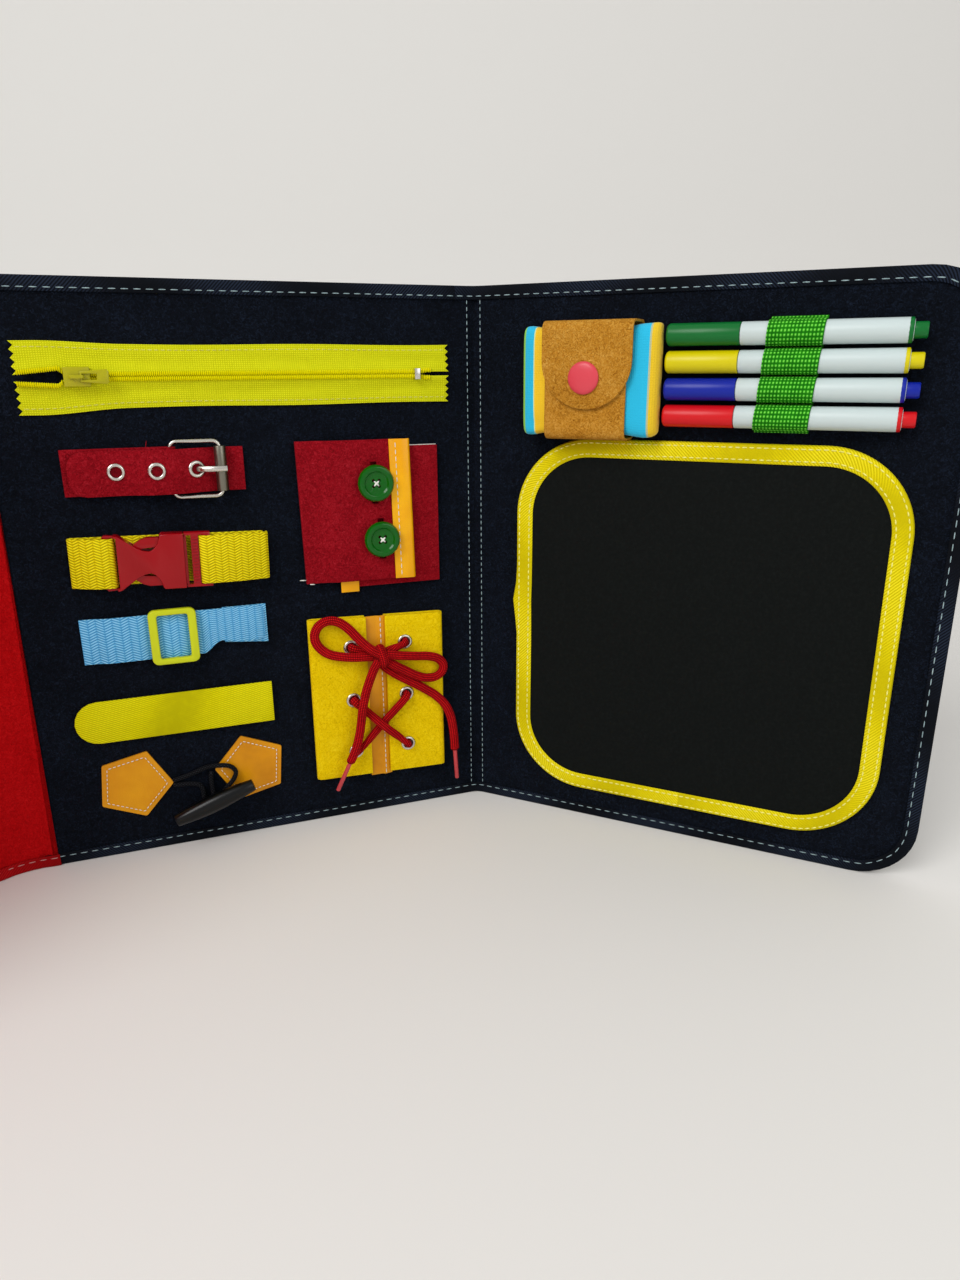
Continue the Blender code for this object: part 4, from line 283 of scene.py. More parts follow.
def tube(path, half_width, half_depth, sides):
    """A cord of oval section along a path, with rounded ends."""
    frames = cord_frames(path)
    ring = []
    for i in range(sides):
        angle = 2 * pi * i / sides - pi / 2
        ring.append(frames[0] @ Vector((half_width * cos(angle), half_depth * sin(angle), 0)))
    moves = [after @ before.inverted() for before, after in zip(frames, frames[1:])]
    shape = sweep(ring, moves, closed=True)
    for frame_at, way in ((frames[0], -1), (frames[-1], 1)):
        edges = [e for e in shape.edges if e.is_boundary
                 and all((v.co - frame_at.translation).length < half_width * 1.01 for v in e.verts)]
        for share, out in ((0.75, 0.5), (0.375, 0.75)):
            verts, edges = drawn_out(shape, edges)
            for vertex in verts:
                local = frame_at.inverted() @ vertex.co
                size = Vector((local.x / half_width, local.y / half_depth)).length
                local.x, local.y = local.x * share / size, local.y * share / size
                vertex.co = frame_at @ (local * Vector((1, 1, 0)) + Vector((0, 0, way * out * half_depth)))
        bmesh.ops.contextual_create(shape, geom=edges)
    return shape


# %% Spun shapes and threads
def turned(profile, steps=24, place=Matrix.Identity(4), shape=None):
    """Spins a profile of (radius, height) round its axis; height points to the viewer, away from the page."""
    own = bmesh.new()
    verts = [own.verts.new((radius, -height, 0)) for radius, height in profile]
    edges = [own.edges.new(pair) for pair in zip(verts, verts[1:])]
    bmesh.ops.spin(own, geom=verts + edges, cent=(0, 0, 0), axis=(0, 1, 0), angle=2 * pi, steps=steps,
                   use_merge=True)
    bmesh.ops.remove_doubles(own, verts=own.verts, dist=1e-4)
    bmesh.ops.recalc_face_normals(own, faces=own.faces)
    bmesh.ops.transform(own, matrix=place, verts=own.verts)
    return joined(shape, own)


def joined(shape, more):
    """Adds one bmesh to another."""
    if shape is None:
        return more
    mesh = bpy.data.meshes.new("more")
    more.to_mesh(mesh)
    more.free()
    shape.from_mesh(mesh)
    bpy.data.meshes.remove(mesh)
    return shape


# %% Sewing thread
def stitches(way, pitch, length, thick, shape=None):
    """A row of sewing thread along a way: each stitch is a small stretched bead."""
    shape = shape or bmesh.new()
    way = [Vector(point) for point in way]
    marks = marks_along(way)
    count = max(1, int(marks[-1] / pitch))
    i = 0
    for k in range(count):
        s = (k + 0.5) * marks[-1] / count
        while marks[i + 1] < s:
            i += 1
        heading = (way[i + 1] - way[i]).normalized()
        place = way[i] + heading * (s - marks[i])
        turn = heading.to_track_quat("X", "Z").to_matrix().to_4x4()
        size = Matrix.Diagonal((length / 2, thick / 2, thick / 2, 1)) @ Matrix.Rotation(pi / 2, 4, "Y")
        bmesh.ops.create_uvsphere(shape, u_segments=6, v_segments=4, radius=1,
                                  matrix=Matrix.Translation(place) @ turn @ size)
    return shape


# %% Finished pieces
def finished(name, shape, place, look, slot, body="left_page", wall=0, rounding=0, replaces=(), angle=40,
             blend=None, levels=0, offset=0, cut=None):
    """Gives a shape its wall, rounded edges, place and finish, and lets it ride on its body. A sheet of cloth
    also has its cut: its width and length in millimetres are printed, and its other entries, how it is held and
    what it rests on, are not used."""
    bmesh.ops.transform(shape, matrix=place, verts=shape.verts)
    mesh = bpy.data.meshes.new(name)
    shape.to_mesh(mesh)
    shape.free()
    mesh.shade_smooth()
    piece = bpy.data.objects.new(name, mesh)
    bpy.context.collection.objects.link(piece)
    mesh.materials.append(look)
    if wall:
        solid = piece.modifiers.new("wall", "SOLIDIFY")
        solid.thickness = wall * 0.001
        solid.offset = offset
        solid.use_even_offset = True
    if rounding:
        soft = piece.modifiers.new("rounding", "BEVEL")
        soft.width = rounding * 0.001
        soft.segments = 2
        soft.limit_method = "ANGLE"
        soft.angle_limit = radians(angle)
    if levels:
        fuller = piece.modifiers.new("fuller", "SUBSURF")
        fuller.levels = fuller.render_levels = levels
    if piece.modifiers:
        graph = bpy.context.evaluated_depsgraph_get()
        piece.data = bpy.data.meshes.new_from_object(piece.evaluated_get(graph))
        piece.data.name = name
        piece.modifiers.clear()
    piece.data.set_sharp_from_angle(angle=radians(angle + 10))
    print(name, len(piece.data.polygons), "faces")
    if blend:
        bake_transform(piece)
    else:
        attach(piece, body)
    if replaces:
        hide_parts(*replaces)
    if cut:
        print("cut", round(cut[0], 1), "by", round(cut[1], 1), "mm")
    return piece


# %% Rigid pieces from their solids
def resized(node, place, sizes, shift=(0, 0, 0)):
    """Makes a node fuller or slimmer about its middle, along the axes of a place, and shifts it there."""
    low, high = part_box(node)
    middle = Vector([(a + b) / 2 for a, b in zip(low, high)]) * 1000
    turn = place.to_3x3().normalized().to_4x4()
    return (Matrix.Translation(middle) @ turn @ Matrix.Translation(shift) @ Matrix.Diagonal((*sizes, 1))
            @ turn.inverted() @ Matrix.Translation(-middle))


def refined(node, look, slot, rounding, body="left_page", shaped=None):
    """Stands for a rigid node: a merged copy with flat faces rejoined and its edges rounded. A shaped matrix
    changes it first, in millimetres."""
    source = frame["nodes"][node]
    shape = bmesh.new()
    shape.from_mesh(source.data)
    bmesh.ops.remove_doubles(shape, verts=shape.verts, dist=2e-6)
    bmesh.ops.dissolve_limit(shape, angle_limit=radians(1), verts=shape.verts, edges=shape.edges)
    bmesh.ops.scale(shape, vec=(1000, 1000, 1000), verts=shape.verts)
    if shaped:
        bmesh.ops.transform(shape, matrix=shaped, verts=shape.verts)
    return finished("fine_" + node, shape, MM, look, slot, body=body, rounding=rounding, replaces=(node,),
                    angle=35)

# %% [markdown]
# ## Finishes
#
# Each finish starts from what the real one is and how its surface was made. `linear` turns an sRGB hex colour
# to the linear numbers that the renderer works in, and `add` puts one node in a material, with its settings
# and links. Patterns read the cloth's own UV map in metres, or the object's coordinates where the stuff has no
# direction, so each scale is one over a real size in metres. `set_stops` only fills a ramp's colours, and
# `shaded` links what was made to the shader.

# %% Colour and node helpers
def linear(colour):
    """An sRGB hex colour as linear red, green, blue and alpha."""
    parts = [int(colour[i:i + 2], 16) / 255 for i in (0, 2, 4)]
    return tuple(c / 12.92 if c <= 0.04045 else ((c + 0.055) / 1.055) ** 2.4 for c in parts) + (1,)


def add(material, kind, links=None, values=None, **settings):
    """One node, with its properties, its sockets' values, and its links. A link comes from a named output, or
    from a node, which stands for its first output."""
    node = material.node_tree.nodes.new("ShaderNode" + kind)
    for name, value in settings.items():
        setattr(node, name, value)
    for name, value in (values or {}).items():
        node.inputs[name].default_value = value
    for name, source in (links or {}).items():
        output = getattr(source, "outputs", (source,))[0]
        material.node_tree.links.new(output, node.inputs[name])
    return node


def begun(name, colour, roughness, **shader):
    """A material with its colour, roughness and the shader's other constants; returns it and its shader."""
    material = bpy.data.materials.new(name)
    material.use_nodes = True
    made = material.node_tree.nodes["Principled BSDF"]
    made.inputs["Base Color"].default_value = linear(colour)
    made.inputs["Roughness"].default_value = roughness
    for socket, value in shader.items():
        made.inputs[socket.replace("_", " ")].default_value = value
    return material, made


def shaded(material, shader, **patterns):
    """Links the last node of each pattern to the shader's socket of that name."""
    for socket, pattern in patterns.items():
        material.node_tree.links.new(pattern.outputs[0], shader.inputs[socket.replace("_", " ")])
    return material


def set_stops(ramp, stops):
    """Sets a ramp's colours of one stuff: (level, hex colour), from low to high."""
    elements = ramp.color_ramp.elements
    for element, (level, colour) in zip(elements, (stops[0], stops[-1])):
        element.position, element.color = level, linear(colour)
    for level, colour in stops[1:-1]:
        elements.new(level).color = linear(colour)
    return ramp


# %% [markdown]
# **Needle felt** is polyester fibre matted by barbed needles. It has no weave, only a soft fuzz that scatters
# light, and cloudy patches where the fibres lie thicker. A noise of 1.6 mm gives the tangle, drawn coarser
# than the fibres so that it shows, and a slow noise of 16 mm the clouds.

# %% Felt
TANGLE, CLOUD = 1.6, 16


def felt(name, dark, colour, light, depth=0.9, clouds=0.3, sheen=0.08):
    material, shader = begun(name, colour, 0.95, Specular_IOR_Level=0.06, Sheen_Weight=sheen,
                             Sheen_Roughness=0.5, Sheen_Tint=linear(light))
    place = add(material, "TexCoord").outputs["Object"]
    tangle = add(material, "TexNoise", {"Vector": place},
                 {"Scale": 1000 / TANGLE, "Detail": 5.0, "Roughness": 0.7, "Distortion": 1.6})
    patches = add(material, "TexNoise", {"Vector": place},
                  {"Scale": 1000 / CLOUD, "Detail": 4.0, "Roughness": 0.65})
    weighted = add(material, "Math", {0: patches}, {1: clouds}, operation="MULTIPLY")
    both = add(material, "Math", {0: tangle, 1: weighted}, operation="ADD")
    middle = 0.5 + clouds / 2
    tone = set_stops(add(material, "ValToRGB", {"Fac": both}),
                     [(middle - 0.2, dark), (middle, colour), (min(middle + 0.24, 1), light)])
    bump = add(material, "Bump", {"Height": tangle}, {"Strength": 0.85, "Distance": depth * 0.001})
    return shaded(material, shader, Base_Color=tone, Normal=bump)


NAVY_FELT = felt("needle_felt_navy", "04060A", "0A0E16", "1B2434", clouds=0.16, sheen=0.02)
RED_FELT = felt("needle_felt_red", "960408", "B4070C", "CA161A", clouds=0.2)
CRIMSON_FELT = felt("needle_felt_crimson", "66050E", "900B18", "B02430", 1.2, 0.25)
YELLOW_FELT = felt("needle_felt_yellow", "D0A800", "F0CC00", "FCE024", 1.0, 0.2)
BROWN_FELT = felt("needle_felt_tan", "8A5412", "C08428", "DCAA52", 1.2, 0.3)
# A darker copy of the crimson felt for the discs inside the belt's eyelets: painted shade.
SHADOW_FELT = felt("needle_felt_crimson_hole_shade", "4E040A", "6E0812", "860E1A")
print("felts", 6)

# %% [markdown]
# **Woven tape.** Webbing, zip tape, twill binding and elastic are narrow fabrics from a needle loom. The warp
# runs along the tape, and the weft crosses it. Two waves multiplied give the cells of a plain weave, and a
# wave turned by 45 degrees a twill. A wave texture of scale 1 repeats every 2 pi / 20 metres, so its scale is
# RIB over the yarns' pitch in millimetres. Yarns finer than 0.9 mm are drawn that far apart, so that they show.

# %% Woven narrow fabrics
RIB = 2 * pi / 20 * 1000
YARN_CLOUD = 5


def woven(name, dark, colour, light, along, across, turn=0, depth=0.35, wander=0.6, sheen=0.05):
    """A weave with its yarns' pitches along and across, in millimetres, and the depth of its cells."""
    material, shader = begun(name, colour, 0.8, Specular_IOR_Level=0.08, Sheen_Weight=sheen,
                             Sheen_Tint=linear(light))
    place = add(material, "Mapping", {"Vector": add(material, "TexCoord").outputs["UV"]},
                {"Rotation": (0, 0, radians(turn))})
    weft, warp = [add(material, "TexWave", {"Vector": place},
                      {"Scale": RIB / pitch, "Distortion": wander, "Detail": 1.0, "Detail Scale": 1.5},
                      bands_direction=direction) for pitch, direction in ((along, "X"), (across, "Y"))]
    cells = add(material, "Math", {0: weft, 1: warp}, operation="MULTIPLY")
    yarn = add(material, "TexNoise", {"Vector": place},
               {"Scale": 1000 / YARN_CLOUD, "Detail": 3.0, "Roughness": 0.6})
    # The colour follows a random yarn tone and also the weave's cells: painted shade in its hollows and painted
    # highlight on its raised yarns.
    yarn_tone_and_weave_shade = add(material, "Math", {0: yarn, 2: cells}, {1: 0.3}, operation="MULTIPLY_ADD")
    tone = set_stops(add(material, "ValToRGB", {"Fac": yarn_tone_and_weave_shade}), [(0.15, dark), (0.5, colour), (1.0, light)])
    bump = add(material, "Bump", {"Height": cells}, {"Strength": 0.6, "Distance": depth * 0.001})
    return shaded(material, shader, Base_Color=tone, Normal=bump)


def herringbone(name, dark, colour, light, column):
    """Webbing whose yarns zigzag along it, in columns across its width."""
    pitch, slope = 1.4, 0.45
    material, shader = begun(name, colour, 0.75, Specular_IOR_Level=0.08, Sheen_Weight=0.05,
                             Sheen_Tint=linear(light))
    place = add(material, "TexCoord").outputs["UV"]
    along = add(material, "SeparateXYZ", {0: place})
    zigzag = add(material, "Math", {0: along}, {1: column / 1000}, operation="PINGPONG")
    rise = add(material, "Math", {0: zigzag}, {1: slope}, operation="MULTIPLY")
    shift = add(material, "CombineXYZ", {"Y": rise})
    leaned = add(material, "VectorMath", {0: place, 1: shift}, operation="ADD")
    yarns = add(material, "TexWave", {"Vector": leaned},
                {"Scale": RIB / pitch, "Distortion": 0.3, "Detail": 1.0, "Detail Scale": 1.5},
                bands_direction="Y")
    columns = add(material, "TexWave", {"Vector": place}, {"Scale": RIB / column}, bands_direction="X")
    rounded = add(material, "Math", {0: columns}, {1: 0.14}, operation="POWER")
    cells = add(material, "Math", {0: yarns, 1: rounded}, operation="MULTIPLY")
    cloud = add(material, "TexNoise", {"Vector": place},
                {"Scale": 1000 / YARN_CLOUD, "Detail": 3.0, "Roughness": 0.6})
    # The colour follows a random yarn tone and also the cells: painted shade in the zigzag's grooves and column
    # lines, painted highlight on the yarns.
    yarn_tone_and_weave_shade = add(material, "Math", {0: cloud, 2: cells}, {1: 0.3}, operation="MULTIPLY_ADD")
    tone = set_stops(add(material, "ValToRGB", {"Fac": yarn_tone_and_weave_shade}), [(0.2, dark), (0.65, colour), (1.0, light)])
    bump = add(material, "Bump", {"Height": cells}, {"Strength": 0.6, "Distance": 0.0005})
    return shaded(material, shader, Base_Color=tone, Normal=bump)


# %% Tapes, webbings, elastics and lace
NAVY_TWILL = woven("twill_tape_navy", "070A10", "0E131D", "1D2636", 1.2, 60, turn=45, depth=0.3)
RED_TWILL = woven("twill_tape_red", "860408", "A0070C", "B61418", 1.2, 60, turn=45, depth=0.3)
YELLOW_TWILL = woven("twill_tape_yellow", "C4B400", "DCCB04", "ECDD20", 1.2, 60, turn=45, depth=0.3)
ZIP_CLOTH = woven("zip_tape_lemon", "BCBE04", "D2D40E", "E2E024", 1.1, 1.0, depth=0.3)
CLIP_WEBBING = herringbone("webbing_yellow", "AE9A00", "E6D000", "F4E41C", 3.4)
SKY_WEBBING = herringbone("webbing_sky_blue", "3C8AC2", "66B4E2", "92D0F0", 4.0)
LOOP_CLOTH = woven("hook_and_loop_yellow", "B8B000", "DAD200", "E4DC10", 1.1, 60, turn=-62, depth=0.4,
                   wander=0.8, sheen=0.2)
GREEN_ELASTIC = woven("ribbed_elastic_green", "126208", "30A614", "7CDA50", 2.0, 1.6, depth=0.6)
BLACK_ELASTIC = woven("braided_elastic_black", "08080A", "131417", "2B2D33", 1.2, 1.2, turn=45, depth=0.4)
RED_LACE = woven("braided_lace_red", "640004", "C6070E", "EA1E24", 0.9, 1.3, depth=1.6, wander=0.3)
print("woven", 10)

# %% [markdown]
# **Moulded plastic.** The clip, slide, buttons, snap and markers are injection moulded in acetal, nylon or
# polypropylene. The mould gives a smooth skin with faint waves of a few millimetres. **Leather cloth** is
# polyurethane on a knitted back, embossed with a grain of about a millimetre.

# %% Plastics and leather cloth
SKIN_WAVE, GRAIN, TONE = 4, 1.1, 26


def moulded(name, colour, roughness=0.32, wave=0.12, **shader):
    material, made = begun(name, colour, roughness, IOR=1.49, Specular_IOR_Level=0.28, **shader)
    place = add(material, "TexCoord").outputs["Object"]
    skin = add(material, "TexNoise", {"Vector": place},
               {"Scale": 1000 / SKIN_WAVE, "Detail": 2.0, "Roughness": 0.6})
    bump = add(material, "Bump", {"Height": skin}, {"Strength": 0.35, "Distance": wave * 0.001})
    return shaded(material, made, Normal=bump)


def leather_cloth(name, dark, colour, light, roughness=0.38):
    material, shader = begun(name, colour, roughness, Specular_IOR_Level=0.25)
    place = add(material, "TexCoord").outputs["Object"]
    grain = add(material, "TexVoronoi", {"Vector": place}, {"Scale": 1000 / GRAIN}, feature="DISTANCE_TO_EDGE")
    patches = add(material, "TexNoise", {"Vector": place},
                  {"Scale": 1000 / TONE, "Detail": 3.0, "Roughness": 0.6})
    tone = set_stops(add(material, "ValToRGB", {"Fac": patches}), [(0.25, dark), (0.5, colour), (0.8, light)])
    bump = add(material, "Bump", {"Height": grain}, {"Strength": 0.5, "Distance": 0.00015})
    return shaded(material, shader, Base_Color=tone, Normal=bump)


# %% Moulded pieces and leather cloth
CLIP_PLASTIC = moulded("moulded_acetal_red", "96000A", 0.26)
SLIDE_PLASTIC = moulded("moulded_acetal_lime", "C6CE14", 0.36)
BUTTON_PLASTIC = moulded("moulded_resin_green", "005808", 0.16)
COIL_PLASTIC = moulded("drawn_polyester_coil_yellow", "E6DC00", 0.3)
SNAP_PLASTIC = moulded("moulded_resin_pink", "D24450", 0.3)
TOGGLE_PLASTIC = moulded("moulded_nylon_black", "060708", 0.28)
WHITE_PLASTIC = moulded("moulded_polypropylene_white", "C2CFCE", 0.35)
TIP_PLASTIC = moulded("clear_tip_film_pink", "CD464B", 0.25, Transmission_Weight=0.25)
CAP_PLASTIC = {
    "green": moulded("moulded_polypropylene_green", "046628", 0.33),
    "yellow": moulded("moulded_polypropylene_yellow", "D0C200", 0.33),
    "blue": moulded("moulded_polypropylene_blue", "0A2096", 0.33),
    "red": moulded("moulded_polypropylene_red", "CC1018", 0.33)}
MUSTARD_LEATHER = leather_cloth("leather_cloth_mustard", "BE7800", "D48C00", "E09C06")
TRIM_LEATHER = leather_cloth("leather_cloth_orange", "E49800", "F0AA00", "FABC10", 0.24)
print("plastics", 12, "leather cloth", 2)

# %% [markdown]
# **Metal and enamel.** The buckle, its roller and the zip's stop are nickel-plated steel, tumbled and then
# slightly dulled by handling, which leaves rubs of 1.5 mm. The slider and its pull are die-cast zinc under
# olive baked enamel.

# %% Metals
RUB = 1.5


def plated(name, colour, roughness):
    material, shader = begun(name, colour, roughness, Metallic=1.0)
    place = add(material, "TexCoord").outputs["Object"]
    rubbed = add(material, "TexNoise", {"Vector": place},
                 {"Scale": 1000 / RUB, "Detail": 4.0, "Roughness": 0.7})
    spread = add(material, "MapRange", {"Value": rubbed},
                 {"To Min": roughness - 0.06, "To Max": roughness + 0.16})
    bump = add(material, "Bump", {"Height": rubbed}, {"Strength": 0.3, "Distance": 0.00003})
    return shaded(material, shader, Roughness=spread, Normal=bump)


# The roller's nickel is a darker, warmer copy of the plated steel: painted shade and a painted brownish
# reflection.
SHADED_NICKEL = plated("nickel_plated_roller_shaded", "7C786C", 0.3)
NICKEL = plated("nickel_plated_steel", "CFCBC2", 0.22)
ENAMEL = moulded("baked_enamel_olive", "A8A20C", 0.24, 0.05)
print("metals", 2)

# %% [markdown]
# **Other stuffs.** The chalkboard is a matt polyvinyl film whose chalk dust has been wiped off. The eraser
# pad is printed cotton in stripes of 5 to 24 mm. Stiffening board is grey recycled board. Thread is spun
# polyester.

# %% Chalkboard, stripes, board and thread
def plain(name, dark, colour, light, size=1, roughness=0.8):
    """A dull stuff whose tone wanders over patches of a size in millimetres."""
    material, shader = begun(name, colour, roughness, Specular_IOR_Level=0.06)
    place = add(material, "TexCoord").outputs["Object"]
    patches = add(material, "TexNoise", {"Vector": place},
                  {"Scale": 1000 / size, "Detail": 5.0, "Roughness": 0.65})
    tone = set_stops(add(material, "ValToRGB", {"Fac": patches}), [(0.3, dark), (0.5, colour), (0.75, light)])
    bump = add(material, "Bump", {"Height": patches}, {"Strength": 0.4, "Distance": 0.0001})
    return shaded(material, shader, Base_Color=tone, Normal=bump)


def striped(name, stops, width):
    """Stripes across the pad: its UV's first number, in metres, spread over the stops. The yarns are 1 mm."""
    material, shader = begun(name, stops[0][1], 0.85, Sheen_Weight=0.15)
    place = add(material, "TexCoord").outputs["UV"]
    across = add(material, "SeparateXYZ", {0: place})
    share = add(material, "MapRange", {"Value": across}, {"From Min": 0.0, "From Max": width / 1000})
    tone = set_stops(add(material, "ValToRGB", {"Fac": share}), stops)
    tone.color_ramp.interpolation = "CONSTANT"
    weft, warp = [add(material, "TexWave", {"Vector": place}, {"Scale": RIB}, bands_direction=direction)
                  for direction in "XY"]
    cloth = add(material, "Math", {0: weft, 1: warp}, operation="MULTIPLY")
    bump = add(material, "Bump", {"Height": cloth}, {"Strength": 0.6, "Distance": 0.0002})
    return shaded(material, shader, Base_Color=tone, Normal=bump)


# %% Dull stuffs, threads and striped cotton
SLATE = plain("matt_vinyl_chalkboard", "0A0D0C", "0D100F", "131615", 1.6, 0.7)
GREY_BOARD = plain("grey_board", "7E7A72", "8F8A80", "9E988D", 2)
PALE_THREAD = plain("thread_pale_teal", "6E8489", "93A9AE", "B4C6C9")
PINK_THREAD = plain("thread_pale_pink", "A06A6A", "BC8886", "D0A6A3")
LEMON_THREAD = plain("thread_lemon", "C9C43A", "E2DE70", "F0EDA0")
WHITE_THREAD = plain("thread_white", "C4C4BC", "E4E4DC", "F4F4EE")
YELLOW_THREAD = plain("thread_yellow", "C8BE30", "F0EA7A", "F8F4A0")
PAD_COTTON = striped("striped_cotton", [
    (0, "8AD03C"), (0.034, "12B4DC"), (0.103, "C8DCA0"), (0.113, "ECC010"), (0.22, "12B4DC"), (0.5, "ECC010"),
    (0.6, "12B4DC"), (0.937, "B0B890"), (0.948, "E2BC0A"), (0.998, "12B4DC"), (1, "12B4DC")], 71.8)
RED_THREAD = plain("thread_red", "8C0A16", "AA1420", "C22834")
print("other stuffs", 9)

# %% [markdown]
# ## Lights, floor and backdrop
#
# A plain pale floor runs up into a backdrop, so no horizon shows. A white sky fills every shadow, and one
# large soft lamp from the upper left gives the forms a side. Their sum on a surface that faces the camera is
# about one, so a colour renders about as it is written.

# %% Studio
def studio():
    """The floor and backdrop: one curved sheet, 8 m wide."""
    shape = bmesh.new()
    row = [shape.verts.new((-4000, y, z)) for y, z in
           ((-3000, 0), (900, 0), (1250, 60), (1480, 240), (1560, 520), (1600, 3000))]
    edges = [shape.edges.new(pair) for pair in zip(row, row[1:])]
    far_side, _ = drawn_out(shape, edges)
    bmesh.ops.translate(shape, vec=(8000, 0, 0), verts=far_side)
    bmesh.ops.transform(shape, matrix=MM, verts=shape.verts)
    mesh = bpy.data.meshes.new("floor")
    shape.to_mesh(mesh)
    shape.free()
    mesh.shade_smooth()
    floor = bpy.data.objects.new("floor", mesh)
    bpy.context.collection.objects.link(floor)
    paper, _ = begun("studio_paper", "E4E2DE", 0.9)
    mesh.materials.append(paper)


def lamp(name, place, size, watts):
    """A round soft lamp that faces the board."""
    light = bpy.data.lights.new(name, "AREA")
    light.shape = "DISK"
    light.size = size
    light.energy = watts
    lamp_object = bpy.data.objects.new(name, light)
    bpy.context.collection.objects.link(lamp_object)
    heading = MIDDLE_OF_BOARD - Vector(place)
    lamp_object.matrix_world = Matrix.Translation(place) @ heading.to_track_quat("-Z", "Y").to_matrix().to_4x4()


MIDDLE_OF_BOARD = Vector((0, 0, 0.15))
studio()
lamp("window", (-1.1, -1.5, 1.7), 1.4, 38)
lamp("bounce", (1.6, -1.2, 0.9), 1.2, 7)
world = bpy.data.worlds.new("sky")
world.use_nodes = True
world.node_tree.nodes["Background"].inputs["Color"].default_value = linear("FFFFFF")
world.node_tree.nodes["Background"].inputs["Strength"].default_value = 0.58
bpy.context.scene.world = world
bpy.context.scene.view_settings.view_transform = "Standard"
print("lamps", 2)

# %% [markdown]
# ## Pages
#
# Each page is a stiff board between two sheets of felt. At the spine the sheets run on from the left page to
# the right one, stitched down on both sides of a hollow channel, so that the book can turn. The right page's
# felt is therefore cut from 11 mm on the left page and laid over the channel.
# The red page is a sheet of its own from the fold on. It is not quite flat: it leaves the fold in line with
# the left page and bends towards the viewer over its first 35 mm.

# %% Ways over the two hinges
WIDTH, HEIGHT, THICK = 250, 300, 5
INSET = 0.9
ROUNDED = (0, 29, 29, 0)
LAP, RED_LAP = 11, 7.5
SPINE_OPENING, FOLD_OPENING = radians(45.3), radians(45.0)
RED_SWING, RED_BEND = radians(50), 35


def spine_way():
    """The front of the felt in the right page's millimetres, from a lap on the left page over the spine."""
    on_left = Vector((-cos(SPINE_OPENING), -sin(SPINE_OPENING), 0))
    return [on_left * LAP, on_left * 8, on_left * 6, on_left * 4.5, on_left * 2.4 + Vector((0.15, -0.15, 0)),
            Vector((0.25, -0.65, 0)), Vector((2.4, -0.2, 0)), Vector((4.5, 0, 0)), Vector((6, 0, 0)),
            Vector((9, 0, 0)), Vector((12, 0, 0)), Vector((WIDTH, 0, 0))]


def fold_way():
    """The front of the red felt in the red page's millimetres: a lap on the left page, then the soft bend."""
    along = Vector((cos(FOLD_OPENING), -sin(FOLD_OPENING), 0))
    over = Vector((-sin(FOLD_OPENING), -cos(FOLD_OPENING), 0)) * 0.9
    way = [along * RED_LAP + over, along * 3 + over, over * 0.7]
    first = len(way) - 1
    step = 1.25
    while way[-1].x > -WIDTH:
        s = step * (len(way) - 1 - first)
        angle = FOLD_OPENING - RED_SWING * min(s / RED_BEND, 1)
        if s > RED_BEND:
            angle *= min(1, max(way[-1].y, 0) / 1.2)
        way.append(way[-1] + step * Vector((-cos(angle), sin(angle), 0)))
    return way


SPINE_WAY, FOLD_WAY = spine_way(), fold_way()
SPINE_AT = length_of(SPINE_WAY) - WIDTH
RED_END = length_of(FOLD_WAY)
SPINE_BLEND = ("left_page", "right_page", LEFT @ Vector((-4, 0, 150)), RIGHT @ Vector((4, 0, 150)))
FOLD_BLEND = ("left_page", "red_page", RED @ Vector((0, 0, 150)), RED @ (FOLD_WAY[38] + Vector((0, 0, 150))))
print("spine at", round(SPINE_AT, 2), "mm, red page", round(RED_END, 1), "mm along its bend")


# %% Felt of the pages
def channelled(shape, centre):
    """Presses the felt together beside a hinge, where it is stitched, and hollows the channel between."""
    for vertex in shape.verts:
        off = abs(vertex.co.x - centre)
        if vertex.co.y > THICK / 2:
            vertex.co.y -= 1.6 if off < 3.4 else 2.6 * min(1, max(0, (10.7 - off) / 4))
        else:
            vertex.co.y += 1.3 * max(0, 1 - off / 3.6)
    return shape


def page_felt(x0, x1, corners=(0, 0, 0, 0), cuts=(), hinges=()):
    """Front and back felt with the stiffening inside, as one slab."""
    near = [hinge + way * off for hinge in hinges for off in (0, 1.2, 2.4, 3.3, 3.6, 4.5, 5.6, 6.7, 8.7, 10.7)
            for way in (-1, 1)]
    shape = panel(x0, x1, INSET, HEIGHT - INSET, corners,
                  cuts=[x for x in sorted(set(near) | set(cuts)) if x0 + 0.2 < x < x1 - 0.2])
    made = bmesh.ops.extrude_face_region(shape, geom=shape.faces[:])["geom"]
    back = [item for item in made if isinstance(item, bmesh.types.BMVert)]
    bmesh.ops.translate(shape, vec=(0, THICK, 0), verts=back)
    for hinge in hinges:
        channelled(shape, hinge)
    bmesh.ops.recalc_face_normals(shape, faces=shape.faces)
    print("page felt open edges", sum(e.is_boundary for e in shape.edges))
    return shape


finished("left_page_cover", page_felt(-WIDTH, -LAP, hinges=(-WIDTH,)), LEFT, NAVY_FELT, "navy_felt",
         replaces=("left_page_felt",))
right_felt = page_felt(0, SPINE_AT + WIDTH - INSET, ROUNDED, hinges=(SPINE_AT,))
finished("right_page_cover", laid(right_felt, SPINE_WAY), RIGHT, NAVY_FELT, "navy_felt", blend=SPINE_BLEND,
         replaces=("right_page_felt",))
bends = [RED_LAP + off for off in [-5] + [RED_BEND * i / 14 for i in range(1, 15)] + list(range(40, 250, 10))]
red_felt = page_felt(0, RED_END - INSET, ROUNDED, bends, (RED_LAP,))
ASKEW = 3.5
for vertex in red_felt.verts:
    if vertex.co.x < 0.1:
        vertex.co.x = ASKEW * (1 - vertex.co.z / HEIGHT)
finished("red_page_cover", laid(red_felt, FOLD_WAY, -1),
         RED, RED_FELT, "red_felt", blend=FOLD_BLEND, replaces=("red_page_felt", "red_page_board"))

# %% [markdown]
# ## Edge bindings
#
# A twill tape is folded over the raw edges of each page and sewn through, 5.3 mm from the edge, with a long
# pale stitch. The tape is drawn along the edge by its section, round the corners and all, and takes its
# thickness after. The stitches are beads of thread, 3.7 mm long, at 5.5 mm.

